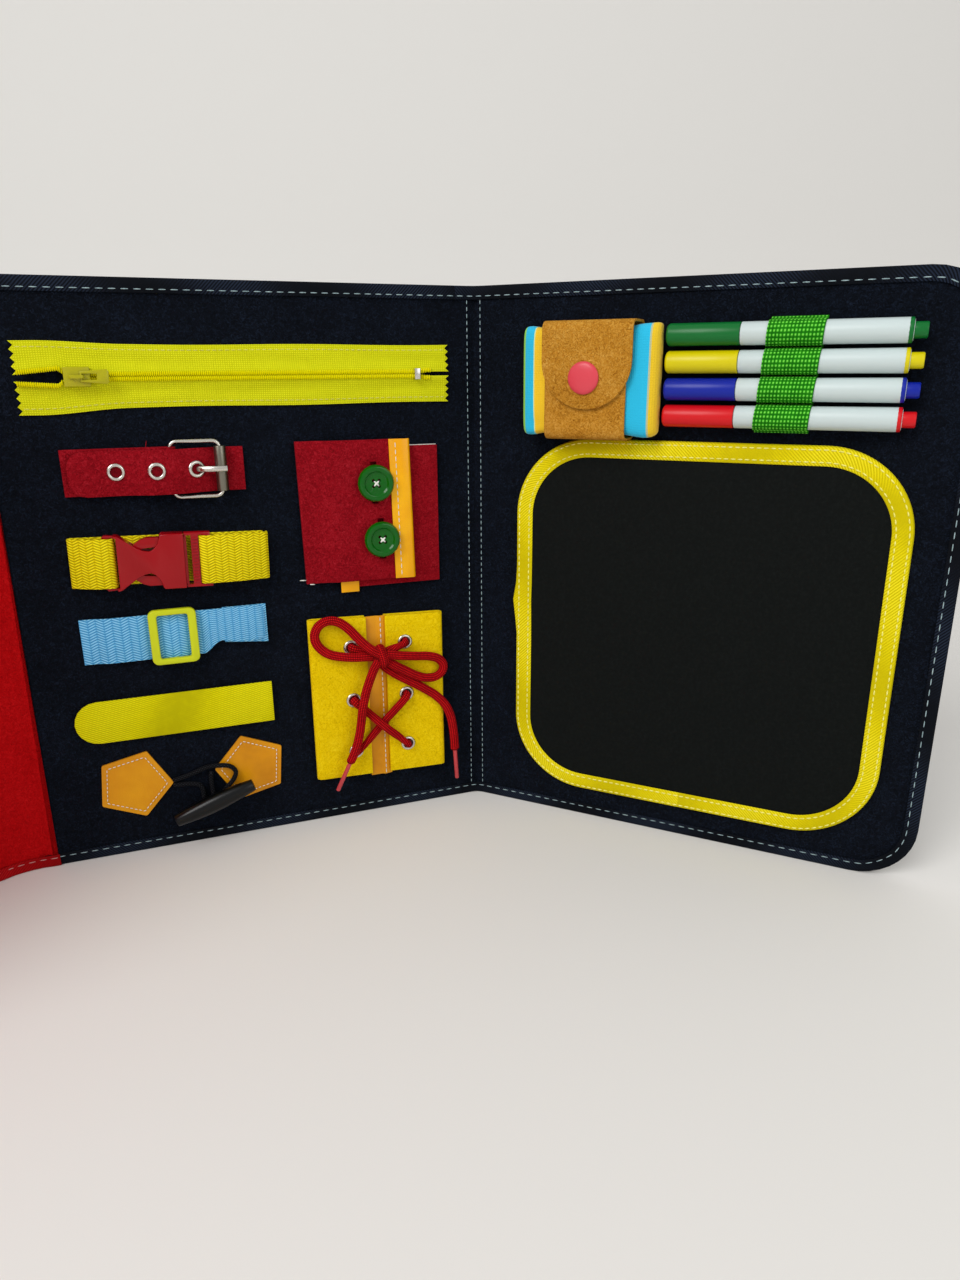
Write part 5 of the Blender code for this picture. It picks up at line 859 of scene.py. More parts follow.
# %% Bindings and their stitches
EDGE_SECTION = [(-0.6, 7.0), (-0.68, 3.2), (-0.58, 1.2), (-0.1, 0.45), (1.2, 0.3), (2.5, 0.3), (3.8, 0.3),
                (5.1, 0.45), (5.58, 1.2), (5.68, 3.2), (5.6, 7.0)]
RADIUS = 30
SEWN_AT = 5.3
TAPE_CUT = length_of(EDGE_SECTION)


# %% The tape's way and its seam
def round_page(far):
    """The moves of the tape round three sides of a page, from the hinge and back to it."""
    middle = far - RADIUS
    return (straight(24, 0, 20) + straight(middle - 24, 0, 24) + corner(middle, RADIUS, 90)
            + straight(0, HEIGHT - 2 * RADIUS, 8) + corner(middle, HEIGHT - RADIUS, 90)
            + straight(24 - middle, 0, 24) + straight(-24, 0, 20))


def edge_tape(x0, moves, top=False):
    """The tape's section drawn along an edge, upside down for the top one."""
    section = [(x0, y, HEIGHT - z if top else z) for y, z in EDGE_SECTION]
    return sweep(section, moves)


def edge_stitches(x0, moves, top=False):
    """Rows on the front and on the back of the tape."""
    z = HEIGHT - SEWN_AT if top else SEWN_AT
    front = stitches(traced((x0, -0.9, z), moves), 5.5, 3.7, 0.55)
    return stitches(traced((x0, 5.95, z), moves), 5.5, 3.7, 0.55, front)


# %% Tapes laid round the pages
def page_tape(name, shape, place, look, slot, length, **more):
    """A finished tape that rests on its page's cover."""
    finished(name, shape, place, look, slot, wall=0.6, rounding=0.15,
             cut=(TAPE_CUT, length, "folded", name.split("_tape")[0] + "_cover"), **more)


along_left = straight(WIDTH - LAP, 0, 24)
for name, top in (("bottom", False), ("top", True)):
    page_tape("left_page_tape_" + name, edge_tape(-WIDTH, along_left, top), LEFT, NAVY_TWILL, "navy_felt",
              WIDTH - LAP, replaces=("left_page_binding_" + name,))
    finished("left_page_stitches_" + name, edge_stitches(-WIDTH, along_left, top), LEFT, PALE_THREAD,
             "navy_felt")
round_right = round_page(SPINE_AT + WIDTH)
page_tape("right_page_tape", laid(edge_tape(0, round_right), SPINE_WAY), RIGHT, NAVY_TWILL, "navy_felt",
          length_of(traced((0, 0, 0), round_right)), blend=SPINE_BLEND, replaces=("right_page_binding",))
seam = edge_stitches(0, round_right)
for off in (-3.7, 3.7):
    for y in (-0.1, 2.5):
        seam = stitches([(SPINE_AT + off, y, 3), (SPINE_AT + off, y, HEIGHT - 3)], 3.5, 2.3, 0.5, seam)
finished("right_page_stitches", laid(seam, SPINE_WAY), RIGHT, PALE_THREAD, "navy_felt", blend=SPINE_BLEND)
round_red = round_page(RED_END)
page_tape("red_page_tape", laid(edge_tape(0, round_red), FOLD_WAY, -1), RED, RED_TWILL, "red_felt",
          length_of(traced((0, 0, 0), round_red)), blend=FOLD_BLEND, replaces=("red_page_binding",))
finished("red_page_stitches", laid(edge_stitches(0, round_red), FOLD_WAY, -1), RED, PINK_THREAD, "red_felt",
         blend=FOLD_BLEND)
for node in ("left_page_board", "right_page_board"):
    board = frame["nodes"][node]
    board.data.materials.clear()
    board.data.materials.append(GREY_BOARD)
print("pages", 3)

# %% [markdown]
# ## Zip
#
# Two lemon tapes carry a coil of plastic wire on their inner edges. The slider has been pulled to the left.
# Beyond it and beyond the bottom stop the tapes part, and their edges roll outwards. Each tape is drawn along
# its length, its ends are pinked, and the parting is pushed into its inner rows. The coil is a few hundred
# small beads, one for each turn of the wire.

# %% Zip
ZIP = on(LEFT, -121.75, 255.3)
ZIP_END, TAPE_INNER, TAPE_WIDTH = 106.2, 0.2, 14.5
SLIDER_AT, STOP_AT, ASKEW_FROM = -84, 90, -58
TAPE_DEPTHS = (-2.1, -2.0, -1.6, -1.0, -0.75, -0.85, -0.95, -0.65, -0.75)
TAPE_ROWS = [TAPE_INNER + TAPE_WIDTH * k / 8 for k in range(9)]


def parting(side, x):
    """How far a tape's inner edge stands from the zip's middle beyond the slider and the stop."""
    if x < SLIDER_AT:
        share = min(1, (SLIDER_AT - x) / (ZIP_END + SLIDER_AT))
        return min(3.1, (SLIDER_AT - x) * 1.2) * (1 - share) + (0.8 if side > 0 else 1.7) * share
    return 0.8 * min(1, (x - STOP_AT) / 3) if x > STOP_AT else 0


def flare(side, x):
    """How far a tape's outer edge bends outwards, where it was sewn on askew at its left end."""
    share = min(1, max(0, (ASKEW_FROM - x) / 40))
    return (1.5 if side > 0 else 2.5) * share * share * (3 - 2 * share) + 0.25 * sin(x / 17)


# %% Zip tapes and coil
def zip_tape(side):
    """One tape in nine rows, pinked at its ends, with its parting and its flare."""
    section = [(-ZIP_END, depth, side * z) for depth, z in zip(TAPE_DEPTHS, TAPE_ROWS)]
    shape = sweep(section, straight(2 * ZIP_END, 0, 90))
    for vertex in shape.verts:
        row = round((abs(vertex.co.z) - TAPE_INNER) / TAPE_WIDTH * 8)
        x = vertex.co.x
        if row % 2 and abs(x) > ZIP_END - 0.1:
            vertex.co.x *= 1 - 1.9 / ZIP_END
        vertex.co.z += side * (parting(side, x) * (1 - row / 8) + flare(side, x) * row / 8)
        vertex.co.y -= 0.25 * sin(x / 11 + row) * sin(pi * row / 8) ** 2
    return shape


def coil(side):
    """The coil's turns as beads, with a gap where the slider covers them."""
    shape = bmesh.new()
    x = -ZIP_END + 2
    while x < 96:
        if not SLIDER_AT - 0.6 < x < SLIDER_AT + 9.5:
            apart = parting(side, x)
            place = Matrix.Translation((x + 0.25 * side, -2.6 - 0.3 * apart, side * (1.15 + apart)))
            bmesh.ops.create_uvsphere(shape, u_segments=6, v_segments=4, radius=1,
                                      matrix=place @ Matrix.Diagonal((0.46, 0.75, 1.35, 1)))
        x += 0.95
    return shape


# %% Zip pieces
for name, side in (("upper", 1), ("lower", -1)):
    finished("zip_tape_" + name, zip_tape(side), ZIP, ZIP_CLOTH, "lemon_zip", wall=0.5, rounding=0.12,
             replaces=("zip_half_" + name,), cut=(TAPE_WIDTH, 2 * ZIP_END, "laid", "left_page_cover"))
    finished("zip_coil_" + name, coil(side), ZIP, COIL_PLASTIC, "lemon_zip")
    line = [(x, -1.15, side * (12.2 + flare(side, x) * 0.85)) for x in range(-104, 105, 4)]
    finished("zip_thread_" + name, stitches(line, 3.0, 2.4, 0.35), ZIP, LEMON_THREAD, "lemon_zip")
refined("zip_slider", ENAMEL, "olive_enamel", 0.22, "zip_slider")
refined("zip_pull", ENAMEL, "olive_enamel", 0.2, "zip_pull")
refined("zip_stop", NICKEL, "steel", 0.15, shaped=resized("zip_stop", ZIP, (0.8, 1, 0.8), (-3.6, 0, 0)))

# %% [markdown]
# ## Straps
#
# Every strap is cut flat and laid along its way in the page's x and y, as the real one is threaded. `eased`
# rounds the corners of that way. The belt is felt, the clip and the slide hang on woven webbing.

# %% The way of a strap
def eased(points, reach=3.0, count=5):
    """A way through points with its corners rounded off within a reach."""
    points = [Vector(point) for point in points]
    way = [points[0]]
    for before, at, after in zip(points, points[1:], points[2:]):
        start = at + (before - at).normalized() * min(reach, (before - at).length / 2)
        end = at + (after - at).normalized() * min(reach, (after - at).length / 2)
        for k in range(count + 1):
            t = k / count
            way.append((1 - t) ** 2 * start + 2 * t * (1 - t) * at + t * t * end)
    return way + [points[-1]]


def round_bar(x, y, radius, first, last, count=8):
    """Points of an arc in x and y."""
    return [(x + radius * cos(radians(first + (last - first) * i / count)),
             y + radius * sin(radians(first + (last - first) * i / count))) for i in range(count + 1)]


def strap(way, half_width, corners=(0, 0, 0, 0), step=1.2):
    """A flat strap, cut to its way's length and laid along it."""
    return laid(panel(0, length_of(way), -half_width, half_width, corners, step=step), way)


def set_in(x, y, z=0, tilt=0):
    """The place of a turned piece on a strap, with its axis square to the strap."""
    return Matrix.Translation((x, y, z)) @ Matrix.Rotation(radians(tilt), 4, "Z")


# %% [markdown]
# ## Belt with pin buckle
#
# The base strap is folded round the buckle's pivot bar. The tongue passes under the roller and over the wrap,
# and its nickel eyelets are rolled rings: a thin tube with a domed flange. The prong stands in the third one.

# %% Belt
BELT = on(LEFT, -170.5, 210.3)
base_way = [(-43, -1), (4, -1)] + round_bar(7.5, -3.2, 2.2, 90, -90)
base_way += eased([(6.5, -5.4), (-1, -5.4), (-4.6, -2.7), (-8, -2.7)], 2)
base = panel(0, length_of(base_way), -11.35, 11.35, step=1.1, rows=(-2.3, 2.3))
slot_faces = [face for face in base.faces if abs(face.calc_center_median().z) < 2
              and 49 < face.calc_center_median().x < 58]
bmesh.ops.delete(base, geom=slot_faces, context="FACES")
finished("belt_base_felt", laid(base, base_way), BELT, CRIMSON_FELT, "crimson_felt", wall=1.35, rounding=0.3,
         replaces=("belt_base",), cut=(22.7, length_of(base_way), "folded", "left_page_cover"))
tongue_way = eased([(-40.5, -3.8), (-31, -3.0), (-12.6, -2.85), (-3.8, -7.1), (9.7, -7.1), (26.9, -1.0),
                    (43, -1.0)], 4)
tongue = strap(tongue_way, 11.0, (8, 0, 0, 8), 1.0)
bmesh.ops.translate(tongue, vec=(0, 0, -0.7), verts=tongue.verts)
finished("belt_tongue_felt", tongue, BELT, CRIMSON_FELT, "crimson_felt", wall=1.35, rounding=0.3,
         replaces=("belt_strap",), cut=(22, length_of(tongue_way), "laid", "belt_base_felt"))
loose = stitches([(-3.6, -3.0, 11), (-2.8, -3.4, 14.6)], 4, 4, 0.3)
finished("belt_loose_thread", loose, BELT, RED_THREAD, "crimson_felt")

# %% Eyelets and buckle
EYELET = [(2.6, -1.3), (2.6, 0.4), (2.85, 0.85), (3.4, 1.0), (4.0, 0.8), (4.35, 0.35), (4.4, -0.1)]
# Each eyelet holds a flat disc in a dark stuff: painted shade inside its hole.
HOLE_SHADE = [(0, 0.12), (EYELET[0][0], 0.12)]


def eyelets(name, places, page, floor, slot):
    """Nickel rings at each place, and a dark disc inside each, which is painted shade of the hole."""
    rings = hole_shades = None
    for place in places:
        rings = turned(EYELET, 28, place, rings)
        hole_shades = turned(HOLE_SHADE, 20, place, hole_shades)
    finished(name + "_eyelets", rings, page, NICKEL, "steel", wall=0.15, offset=-1)
    finished(name + "_eyelet_hole_shades", hole_shades, page, floor, slot)


eyelets("belt", [set_in(19.5, -4.35, tilt=19.5), set_in(0.5, -7.8), set_in(-18.5, -3.6)], BELT, SHADOW_FELT,
        "crimson_felt")
refined("buckle_frame", NICKEL, "steel", 0)
# The roller takes the darker copy of the nickel: painted shade and painted reflection.
refined("buckle_roller", SHADED_NICKEL, "steel", 0.2, "buckle_roller",
        resized("buckle_roller", BELT, (1.15, 1.15, 1.12)))
refined("buckle_prong", NICKEL, "steel", 0, "buckle_prong", resized("buckle_prong", BELT, (1, 1.15, 1.8)))

# %% [markdown]
# ## Side-release clip
#
# Yellow webbing lies on the page, turns forward at each end and is sewn down behind the clip's bars. The
# webbing is a herringbone: its yarns run in a zigzag along the length, in columns 3.4 mm wide.

# %% Clip
CLIP = on(LEFT, -161.5, 165, 1.5)
CLIP_MIDDLE = -6.3
rear_way = ([(40.4, -1.05), (-52.4, -1.05)] + round_bar(-52.4, -2.65, 1.6, 90, 270)
            + [(-46, -7.6), (-41, -8.85)] + round_bar(-35.8, CLIP_MIDDLE, 2.55, -90, 90) + [(-42.9, -3.75)])
finished("clip_webbing_left", strap(rear_way, 12.5), CLIP, CLIP_WEBBING, "yellow_webbing", wall=1.35,
         rounding=0.35, replaces=("clip_webbing",), cut=(25, length_of(rear_way), "folded", "left_page_cover"))
plug_way = [(x, CLIP_MIDDLE + y) for x, y in
            [(23.4, 3.35), (16, 3.35)] + round_bar(9.65, 1.75, 1.6, 90, 180, 4)
            + round_bar(9.65, -1.75, 1.6, 180, 270, 4) + [(13, -3.4), (20, -3.0), (30, -1.7), (37.2, 0.1)]
            + round_bar(40.4, 2.65, 1.6, -75, 30, 5)]
finished("clip_webbing_plug", strap(plug_way, 12.5), CLIP, CLIP_WEBBING, "yellow_webbing", "clip_plug",
         wall=1.35, rounding=0.35, replaces=("clip_webbing_right",),
         cut=(25, length_of(plug_way), "folded", "clip_webbing_left"))
refined("clip_socket", CLIP_PLASTIC, "red_plastic", 0.6)
refined("clip_plug", CLIP_PLASTIC, "red_plastic", 0.3, "clip_plug")

# %% [markdown]
# ## Strap adjuster
#
# A sky-blue webbing runs through a lime slide: behind its side bars and over the centre bar, so it swells in
# the window. At its right end the webbing is doubled and folded askew, and the layer below looks out.

# %% Adjuster
ADJUSTER = on(LEFT, -171, 124.5)
sky_way = eased([(-45, -0.9), (-38, -0.95), (-33, -3.0), (-14, -3.0), (-10, -1.9), (-7.2, -3.2), (0, -3.7),
                 (7.2, -3.2), (10, -1.9), (14, -3.0), (30, -3.2), (42, -2.6), (47, -1.9)], 4, 6)
sky = strap(sky_way, 12.0, (0, 0, 4, 0), 1.2)
for vertex in sky.verts:
    if vertex.co.x > 14 and vertex.co.z < 3:
        share = min(1, (vertex.co.x - 14) / 11)
        share = share * share * (3 - 2 * share)
        vertex.co.z = 3 + (vertex.co.z - 3) * (1 - share * (0.42 - 0.12 * sin((vertex.co.x - 25) / 7.5)))
        vertex.co.y -= 0.2 * share * max(0, -vertex.co.z / 8)
finished("adjuster_webbing_top", sky, ADJUSTER, SKY_WEBBING, "sky_webbing", wall=1.1, rounding=0.3,
         replaces=("adjuster_webbing",), cut=(24, length_of(sky_way), "laid", "left_page_cover"))
under_way = eased([(25.5, -1.0), (40, -1.2), (48.5, -1.1)], 3)
under = strap(under_way, 12.0)
for vertex in under.verts:
    if vertex.co.z < 0:
        vertex.co.z *= 0.62 + 0.18 * (vertex.co.x - 25.5) / 23
finished("adjuster_webbing_under", under, ADJUSTER, SKY_WEBBING, "sky_webbing", wall=1.0, rounding=0.3,
         cut=(24, length_of(under_way), "folded", "left_page_cover"))
refined("adjuster_slide", SLIDE_PLASTIC, "lime_plastic", 0.55, "adjuster_slide",
        resized("adjuster_slide", ADJUSTER, (0.95, 1, 0.94)))

# %% [markdown]
# ## Hook-and-loop strap
#
# A tongue of loop tape with a round end lies on a pad of hook tape. Its ground is a twill that shows as fine
# slanting lines. It peels from the left, so it rides on its own body.

# %% Hook and loop
LOOP = on(LEFT, -174, 80.1)
finished("hook_pad_tape", panel(-48, 45.2, -11.2, 11.2, (9.5, 0, 0, 9.5)),
         LOOP @ Matrix.Translation((0, -0.8, 0)), LOOP_CLOTH, "yellow_strap", wall=0.9, rounding=0.2,
         replaces=("hook_pad",),
         cut=(22.4, 93.2, "laid", "left_page_cover"))
finished("loop_tape", panel(-51.2, 51.2, -11.75, 11.75, (11.7, 0, 0, 11.7), step=4),
         LOOP @ Matrix.Translation((0, -2.2, 0)), LOOP_CLOTH, "yellow_strap", "loop_strap", wall=1.15,
         rounding=0.35, replaces=("loop_strap",), cut=(23.5, 102.4, "laid", "hook_pad_tape"))

# %% [markdown]
# ## Toggle
#
# Two pentagons of leather cloth are folded under at their edges and sewn 3 mm in. A loop of black elastic
# leaves the left one, runs round the toggle's shaft, and comes back.

# %% Toggle
TOGGLE = on(LEFT, -169, 41.1)


def pentagon(radius, turn, x, y):
    """A five-sided patch with eased corners, one of which points to the turn."""
    shape = bmesh.new()
    bmesh.ops.create_circle(shape, cap_ends=True, segments=5, radius=radius)
    bmesh.ops.rotate(shape, cent=(0, 0, 0), matrix=Matrix.Rotation(pi / 2, 3, "X"), verts=shape.verts)
    start = shape.verts[:][0].co
    first = atan2(start.z, start.x)
    bmesh.ops.rotate(shape, cent=(0, 0, 0), matrix=Matrix.Rotation(-(radians(turn) - first), 3, "Y"),
                     verts=shape.verts)
    bmesh.ops.bevel(shape, geom=shape.verts[:], offset=0.8, segments=3, profile=0.5, affect="VERTICES",
                    material=-1)
    bmesh.ops.translate(shape, vec=(x, y, 0), verts=shape.verts)
    return shape


def patch(name, x, turn):
    """A leather patch: its rim rises to a fold, sinks at the seam and swells again inside it."""
    shape = pentagon(20.3, turn, x, -1.35)
    for thickness, depth in ((0.5, 0.0), (1.9, 0.15), (0.7, -0.35), (1.2, -0.05)):
        middle = max(shape.faces, key=lambda f: f.calc_area())
        bmesh.ops.inset_region(shape, faces=[middle], thickness=thickness, depth=depth, use_even_offset=True)
    hem, _ = drawn_out(shape, [e for e in shape.edges if e.is_boundary])
    bmesh.ops.translate(shape, vec=(0, 1.0, 0), verts=hem)
    bmesh.ops.recalc_face_normals(shape, faces=shape.faces)
    finished("toggle_leather_" + name, shape, TOGGLE, MUSTARD_LEATHER, "mustard_leather", angle=20,
             replaces=("toggle_patch_" + name,), cut=(38.6, 36.7, "laid", "left_page_cover"))
    ring = pentagon(17.0, turn, x, -1.5)
    way = sorted((v.co.copy() for v in ring.verts), key=lambda point: atan2(point.z, point.x - x))
    ring.free()
    finished("toggle_patch_thread_" + name, stitches(way + way[:1], 2.4, 1.7, 0.5), TOGGLE, WHITE_THREAD,
             "mustard_leather")


patch("left", -31.4, -6)
patch("right", 31.4, 175)

# %% Elastic loop and toggle
ELASTIC = 1.3
DEPTH = {"page": -1.6, "patch": -3.1}
LOOP_ROUTE = [
    (-10.7, "page", -0.65), (-5, "page", 0.6), (0, "page", 2), (6, "page", 4), (11.5, "patch", 5),
    (19, "patch", 3.6), (22.3, "patch", -0.6), (20.2, "patch", -5.6), (16.8, "patch", -9),
    (13.5, "page", -13.5),
    (10.5, "page", -18.5), (6.5, "page", -19.5), (4, "page", -15.8), (3.8, "page", -10.5), (2.5, "page", -6),
    (-3, "page", -4.2), (-10.7, "page", -3.55)]
HOLDER_ROUTE = [(9, "page", 0.5), (8.6, "page", -4), (8.8, "page", -9), (9.2, "patch", -14.8)]


def in_frame(place, way):
    """A way in the row frame, in metres."""
    return [place @ point for point in way]


def elastic(name, route, node):
    """A stretch of elastic along its route, and its way in metres."""
    way = smooth_path([(x, DEPTH[on_what], z) for x, on_what, z in route], 1.6)
    piece = finished(name, tube(way, ELASTIC, ELASTIC, sides=10), TOGGLE, BLACK_ELASTIC, "black_elastic",
                     replaces=(node,))
    return piece, in_frame(TOGGLE, way)


holder, _ = elastic("toggle_elastic_holder", HOLDER_ROUTE, "toggle_holder")
loop_cord, loop_way = elastic("toggle_elastic_loop", LOOP_ROUTE, "toggle_loop")
AS_IT_LIES = TOGGLE @ Matrix.Rotation(radians(-19), 4, "Y")
refined("toggle_barrel", TOGGLE_PLASTIC, "black_plastic", 0.35, "toggle_barrel",
        resized("toggle_barrel", AS_IT_LIES, (1.05, 1.15, 1.3), (0, -0.7, 0)))
print("toggle loop", round(length_of(loop_way) * 1000, 1), "mm")

# %% [markdown]
# ## Buttoned flaps
#
# A felt flap with two slits buttons over a lower one. The upper one rises from its root, so it lies over the
# lower. Both front edges are trimmed with glossy leather cloth, sewn on. Each button is held by a cross of
# white thread through its four holes.

# %% Flaps and their trims
BUTTONS = on(LEFT, -61.75, 183.6)
LEAN = 0.02


def leaned(shape):
    """Shears a flap a little, since it was sewn on by hand."""
    for vertex in shape.verts:
        vertex.co.x -= LEAN * vertex.co.z
    return shape


finished("button_felt_lower", panel(-14.5, 38.5, -42.25, 34.25), BUTTONS @ Matrix.Translation((0, -1.7, 0)),
         CRIMSON_FELT, "crimson_felt", wall=2.1, rounding=0.4, replaces=("button_flap_lower",),
         cut=(53, 76.5, "laid", "left_page_cover"))
finished("button_interfacing_lower", panel(-14.3, 38.3, -42.0, 34.6),
         BUTTONS @ Matrix.Translation((0, -0.5, 0)), WHITE_THREAD, "crimson_felt", wall=0.35,
         cut=(52.6, 76.6, "laid", "left_page_cover"))
finished("button_trim_lower", panel(-19, -8.9, -44.75, 34.0), BUTTONS @ Matrix.Translation((0, -2.9, 0)),
         TRIM_LEATHER, "yellow_trim", wall=0.5, rounding=0.15, cut=(10.1, 78.75, "laid", "button_felt_lower"))
FRONT_EDGE = 19.7
upper_way = eased([(-38.5, -1.55), (-28, -1.55), (-20.5, -4.35), (FRONT_EDGE, -4.35)], 3)
upper_length = length_of(upper_way)
SLITS = ((0.15, 3.75, 4.15, 26.65), (2.45, 6.05, -26.65, -4.15))
slit_sides = [x + upper_length - FRONT_EDGE for slit in SLITS for x in slit[:2]]
slit_ends = [z for slit in SLITS for z in slit[2:]]
upper = panel(0, upper_length, -38.25, 38.25, step=1.8, cuts=slit_sides, rows=slit_ends)
cut_out = []
for face in upper.faces:
    middle = face.calc_center_median()
    x = middle.x - upper_length + FRONT_EDGE
    cut_out += [face for x0, x1, z0, z1 in SLITS if x0 < x < x1 and z0 < middle.z < z1]
bmesh.ops.delete(upper, geom=cut_out, context="FACES")
finished("button_felt_upper", leaned(laid(upper, upper_way)), BUTTONS, CRIMSON_FELT, "crimson_felt", wall=2.4,
         rounding=0.4, replaces=("button_flap_upper",), cut=(upper_length, 76.5, "laid", "button_felt_lower"))
trim_way = eased([(10.9, -6.05), (14.8, -6.05), (17.6, -6.75), (22.2, -6.6), (22.2, -4.0)], 1.4)
finished("button_trim_upper", leaned(strap(trim_way, 38.4, step=0.8)), BUTTONS, TRIM_LEATHER, "yellow_trim",
         wall=0.7, rounding=0.2, replaces=("button_flap_trim",),
         cut=(length_of(trim_way), 76.8, "folded", "button_felt_upper"))

# %% Threads and buttons
SEAM_X, SEAM_END = 14.4, 37
seam = stitches([(SEAM_X + LEAN * SEAM_END, -6.5, -SEAM_END), (SEAM_X - LEAN * SEAM_END, -6.5, SEAM_END)],
                3.6, 2.8, 0.5)
seam = stitches([(-37.5, -1.2, -36.4), (-41.5, -1.2, -36.2)], 4, 4, 0.6, seam)
seam = stitches([(-36.2, -2.9, -38.4), (-33.6, -2.9, -38.7)], 3, 3, 0.6, seam)
finished("button_trim_thread", seam, BUTTONS, WHITE_THREAD, "yellow_trim")
for name, x, z in (("top", 1.95, 15.4), ("bottom", 4.25, -15.4)):
    refined("button_" + name, BUTTON_PLASTIC, "green_plastic", 0.35, "button_" + name)
    cross = None
    for turn in (45, 135):
        reach = Vector((cos(radians(turn)), 0, sin(radians(turn)))) * 2.1
        centre = Vector((x, -9.35, z))
        cross = stitches([centre - reach, centre + reach], 4.2, 4.1, 1.3, cross)
    finished("button_thread_" + name, cross, BUTTONS, WHITE_THREAD, "green_plastic", "button_" + name)

# %% [markdown]
# ## Laced flaps
#
# Two flaps of yellow felt are folded round, so that each has a soft outer bend and two layers. Six nickel
# eyelets go through the front layers. A strip of mustard leather cloth closes the gap between the flaps.

# %% Laced flaps
LACED = on(LEFT, -62, 75.3)
FRONT = -6.0


def laced_flap(name, side, inner):
    """One flap, mirrored for the left side, and sheared a little to follow the row of eyelets."""
    way = [(inner, -1.2)] + round_bar(36.45, -3.15, 1.95, 90, -90) + [(inner + 6, -5.1), (inner, -5.0)]
    shape = laid(panel(0, length_of(way), -48.5, 48.5, step=1.6, rows=(-40, -20, 0, 20, 40)), way)
    bmesh.ops.scale(shape, vec=(side, 1, 1), verts=shape.verts)
    for vertex in shape.verts:
        vertex.co.z -= 0.03 * vertex.co.x
    bmesh.ops.recalc_face_normals(shape, faces=shape.faces)
    finished("lacing_felt_" + name, shape, LACED, YELLOW_FELT, "yellow_felt", wall=1.75, rounding=0.4,
             replaces=("lacing_flap_" + name,), cut=(97, length_of(way), "folded", "left_page_cover"))


laced_flap("left", -1, 6.4)
laced_flap("right", 1, 4.6)
EYELET_X, EYELET_Z = 15.8, 32
# The discs inside the lacing eyelets are black plastic: painted shade of their holes.
eyelets("lacing", [set_in(x, FRONT, z) for x in (-EYELET_X, EYELET_X) for z in (-EYELET_Z, 0, EYELET_Z)], LACED,
        TOGGLE_PLASTIC, "yellow_felt")
gap_way = eased([(-6.8, -3.5), (0.4, -3.5), (1.2, -4.4), (5.8, -3.5)], 0.8)
finished("lacing_trim_strip", laid(panel(0, length_of(gap_way), -50.5, 48.5, step=0.7), gap_way), LACED,
         MUSTARD_LEATHER, "mustard_leather", wall=0.7, rounding=0.2, replaces=("lacing_trim",),
         cut=(length_of(gap_way), 99, "folded", "lacing_felt_left"))
seam = stitches([(2.0, -4.75, -50), (2.0, -4.75, 48)], 3.2, 2.6, 0.5)
finished("lacing_trim_thread", seam, LACED, WHITE_THREAD, "mustard_leather")

# %% [markdown]
# ## Lace
#
# The lace is a braided cord, pressed a little flat, about 4.6 mm thick. It crosses between the lower eyelets,
# comes out of the upper two into a knot, and ends in two loops and two tails with plastic tips. Each strand
# follows the route of its solid: x, layers of lace above the felt, z.

# %% Lace
LAYER, LYING, OVER_RIM = 4.4, -8.5, -9.4
KNOT = Vector((-0.6, LYING - 0.9 * LAYER, 27.2))
LOOP_ROUTES = {
    "left": [(1, 1.5, 28), (-5, 1.5, 31.5), (-9.2, 1.35, 34.9), (-13.5, 1.1, 39.7), (-17.6, 0.8, 44.7),
             (-22.6, 0.5, 48.7), (-27.6, 0.3, 50), (-32.7, 0.15, 48.3), (-35.9, 0.05, 43.7), (-35.9, 0, 38.4),
             (-32.9, 0.1, 33.5), (-28, 0.3, 30.2), (-21.4, 0.65, 28.7), (-14.8, 0.95, 28), (-8.7, 0.8, 27.4),
             (-3, 0.45, 26.2), (0, 0.4, 25.6)],
    "right": [(-1, 1.5, 28.5), (4.9, 1.45, 27.8), (11.8, 1.2, 26.2), (20.3, 0.8, 24.4), (28.2, 0.4, 22.9),
              (34.5, 0.15, 20.4), (37.9, 0.05, 16.2), (37, 0, 11.6), (32.6, 0.05, 9), (26.2, 0.25, 9.6),
              (20, 0.5, 12.4), (13.8, 0.75, 16.4), (7.7, 1, 20.5), (3.1, 0.9, 23.8), (-0.5, 0.7, 26.2)]}
END_ROUTES = {
    "left": [(-1.6, 1.2, 26.5), (-2.6, 1.2, 23.6), (-4.8, 1.15, 19.9), (-7.2, 1.05, 13.9), (-9.8, 1.1, 7.1),
             (-11.6, 1.3, 0.9), (-12.8, 1.3, -4.5), (-13.5, 1, -11.8), (-14.4, 0.8, -18.2), (-16.2, 0.9, -24.6),
             (-18.6, 0.9, -30.9), (-20.6, 0.75, -35.5)],
    "right": [(-0.6, 0.3, 24.5), (2, 0.15, 19.8), (8, 0.1, 14.6), (14.1, 0.1, 10.4), (20.4, 0.05, 6.3),
              (26.6, 0, 2), (33, 0, -2.9), (38.6, 0, -9.5), (41.8, 0, -16.7), (43.3, 0, -24.6), (44, 0, -31.6),
              (44.4, 0, -38.9)]}


# %% Strands of lace
def layered(route):
    """A smooth way from a route whose depths are layers of lace."""
    return smooth_path([(x, LYING - layer * LAYER, z) for x, layer, z in route])


def out_of_eyelet(x, z, toward):
    """From inside an eyelet, over its rim, and off toward a point."""
    heading = Vector((toward[0] - x, 0, toward[1] - z)).normalized()
    points = [Vector((x, FRONT + 1.8, z))]
    for i in range(4):
        angle = pi / 6 * i
        points.append(Vector((x, OVER_RIM + 2.5 * (1 - sin(angle)), z)) + heading * 2.5 * (1 - cos(angle)))
    return points + [Vector((x, OVER_RIM, z)) + heading * 8.4]


def strand(name, way, width=2.65, depth=1.95, replaces=()):
    """One strand of lace, with its half width and half depth."""
    return finished(name, tube(way, width, depth, sides=16), LACED, RED_LACE, "red_lace", replaces=replaces,
                    angle=60)


def lace_cord(piece, way):
    """Prints a strand's name and its length along its way, in millimetres."""
    way = in_frame(LACED, way)
    print(piece.name, round(length_of(way) * 1000, 1), "mm")


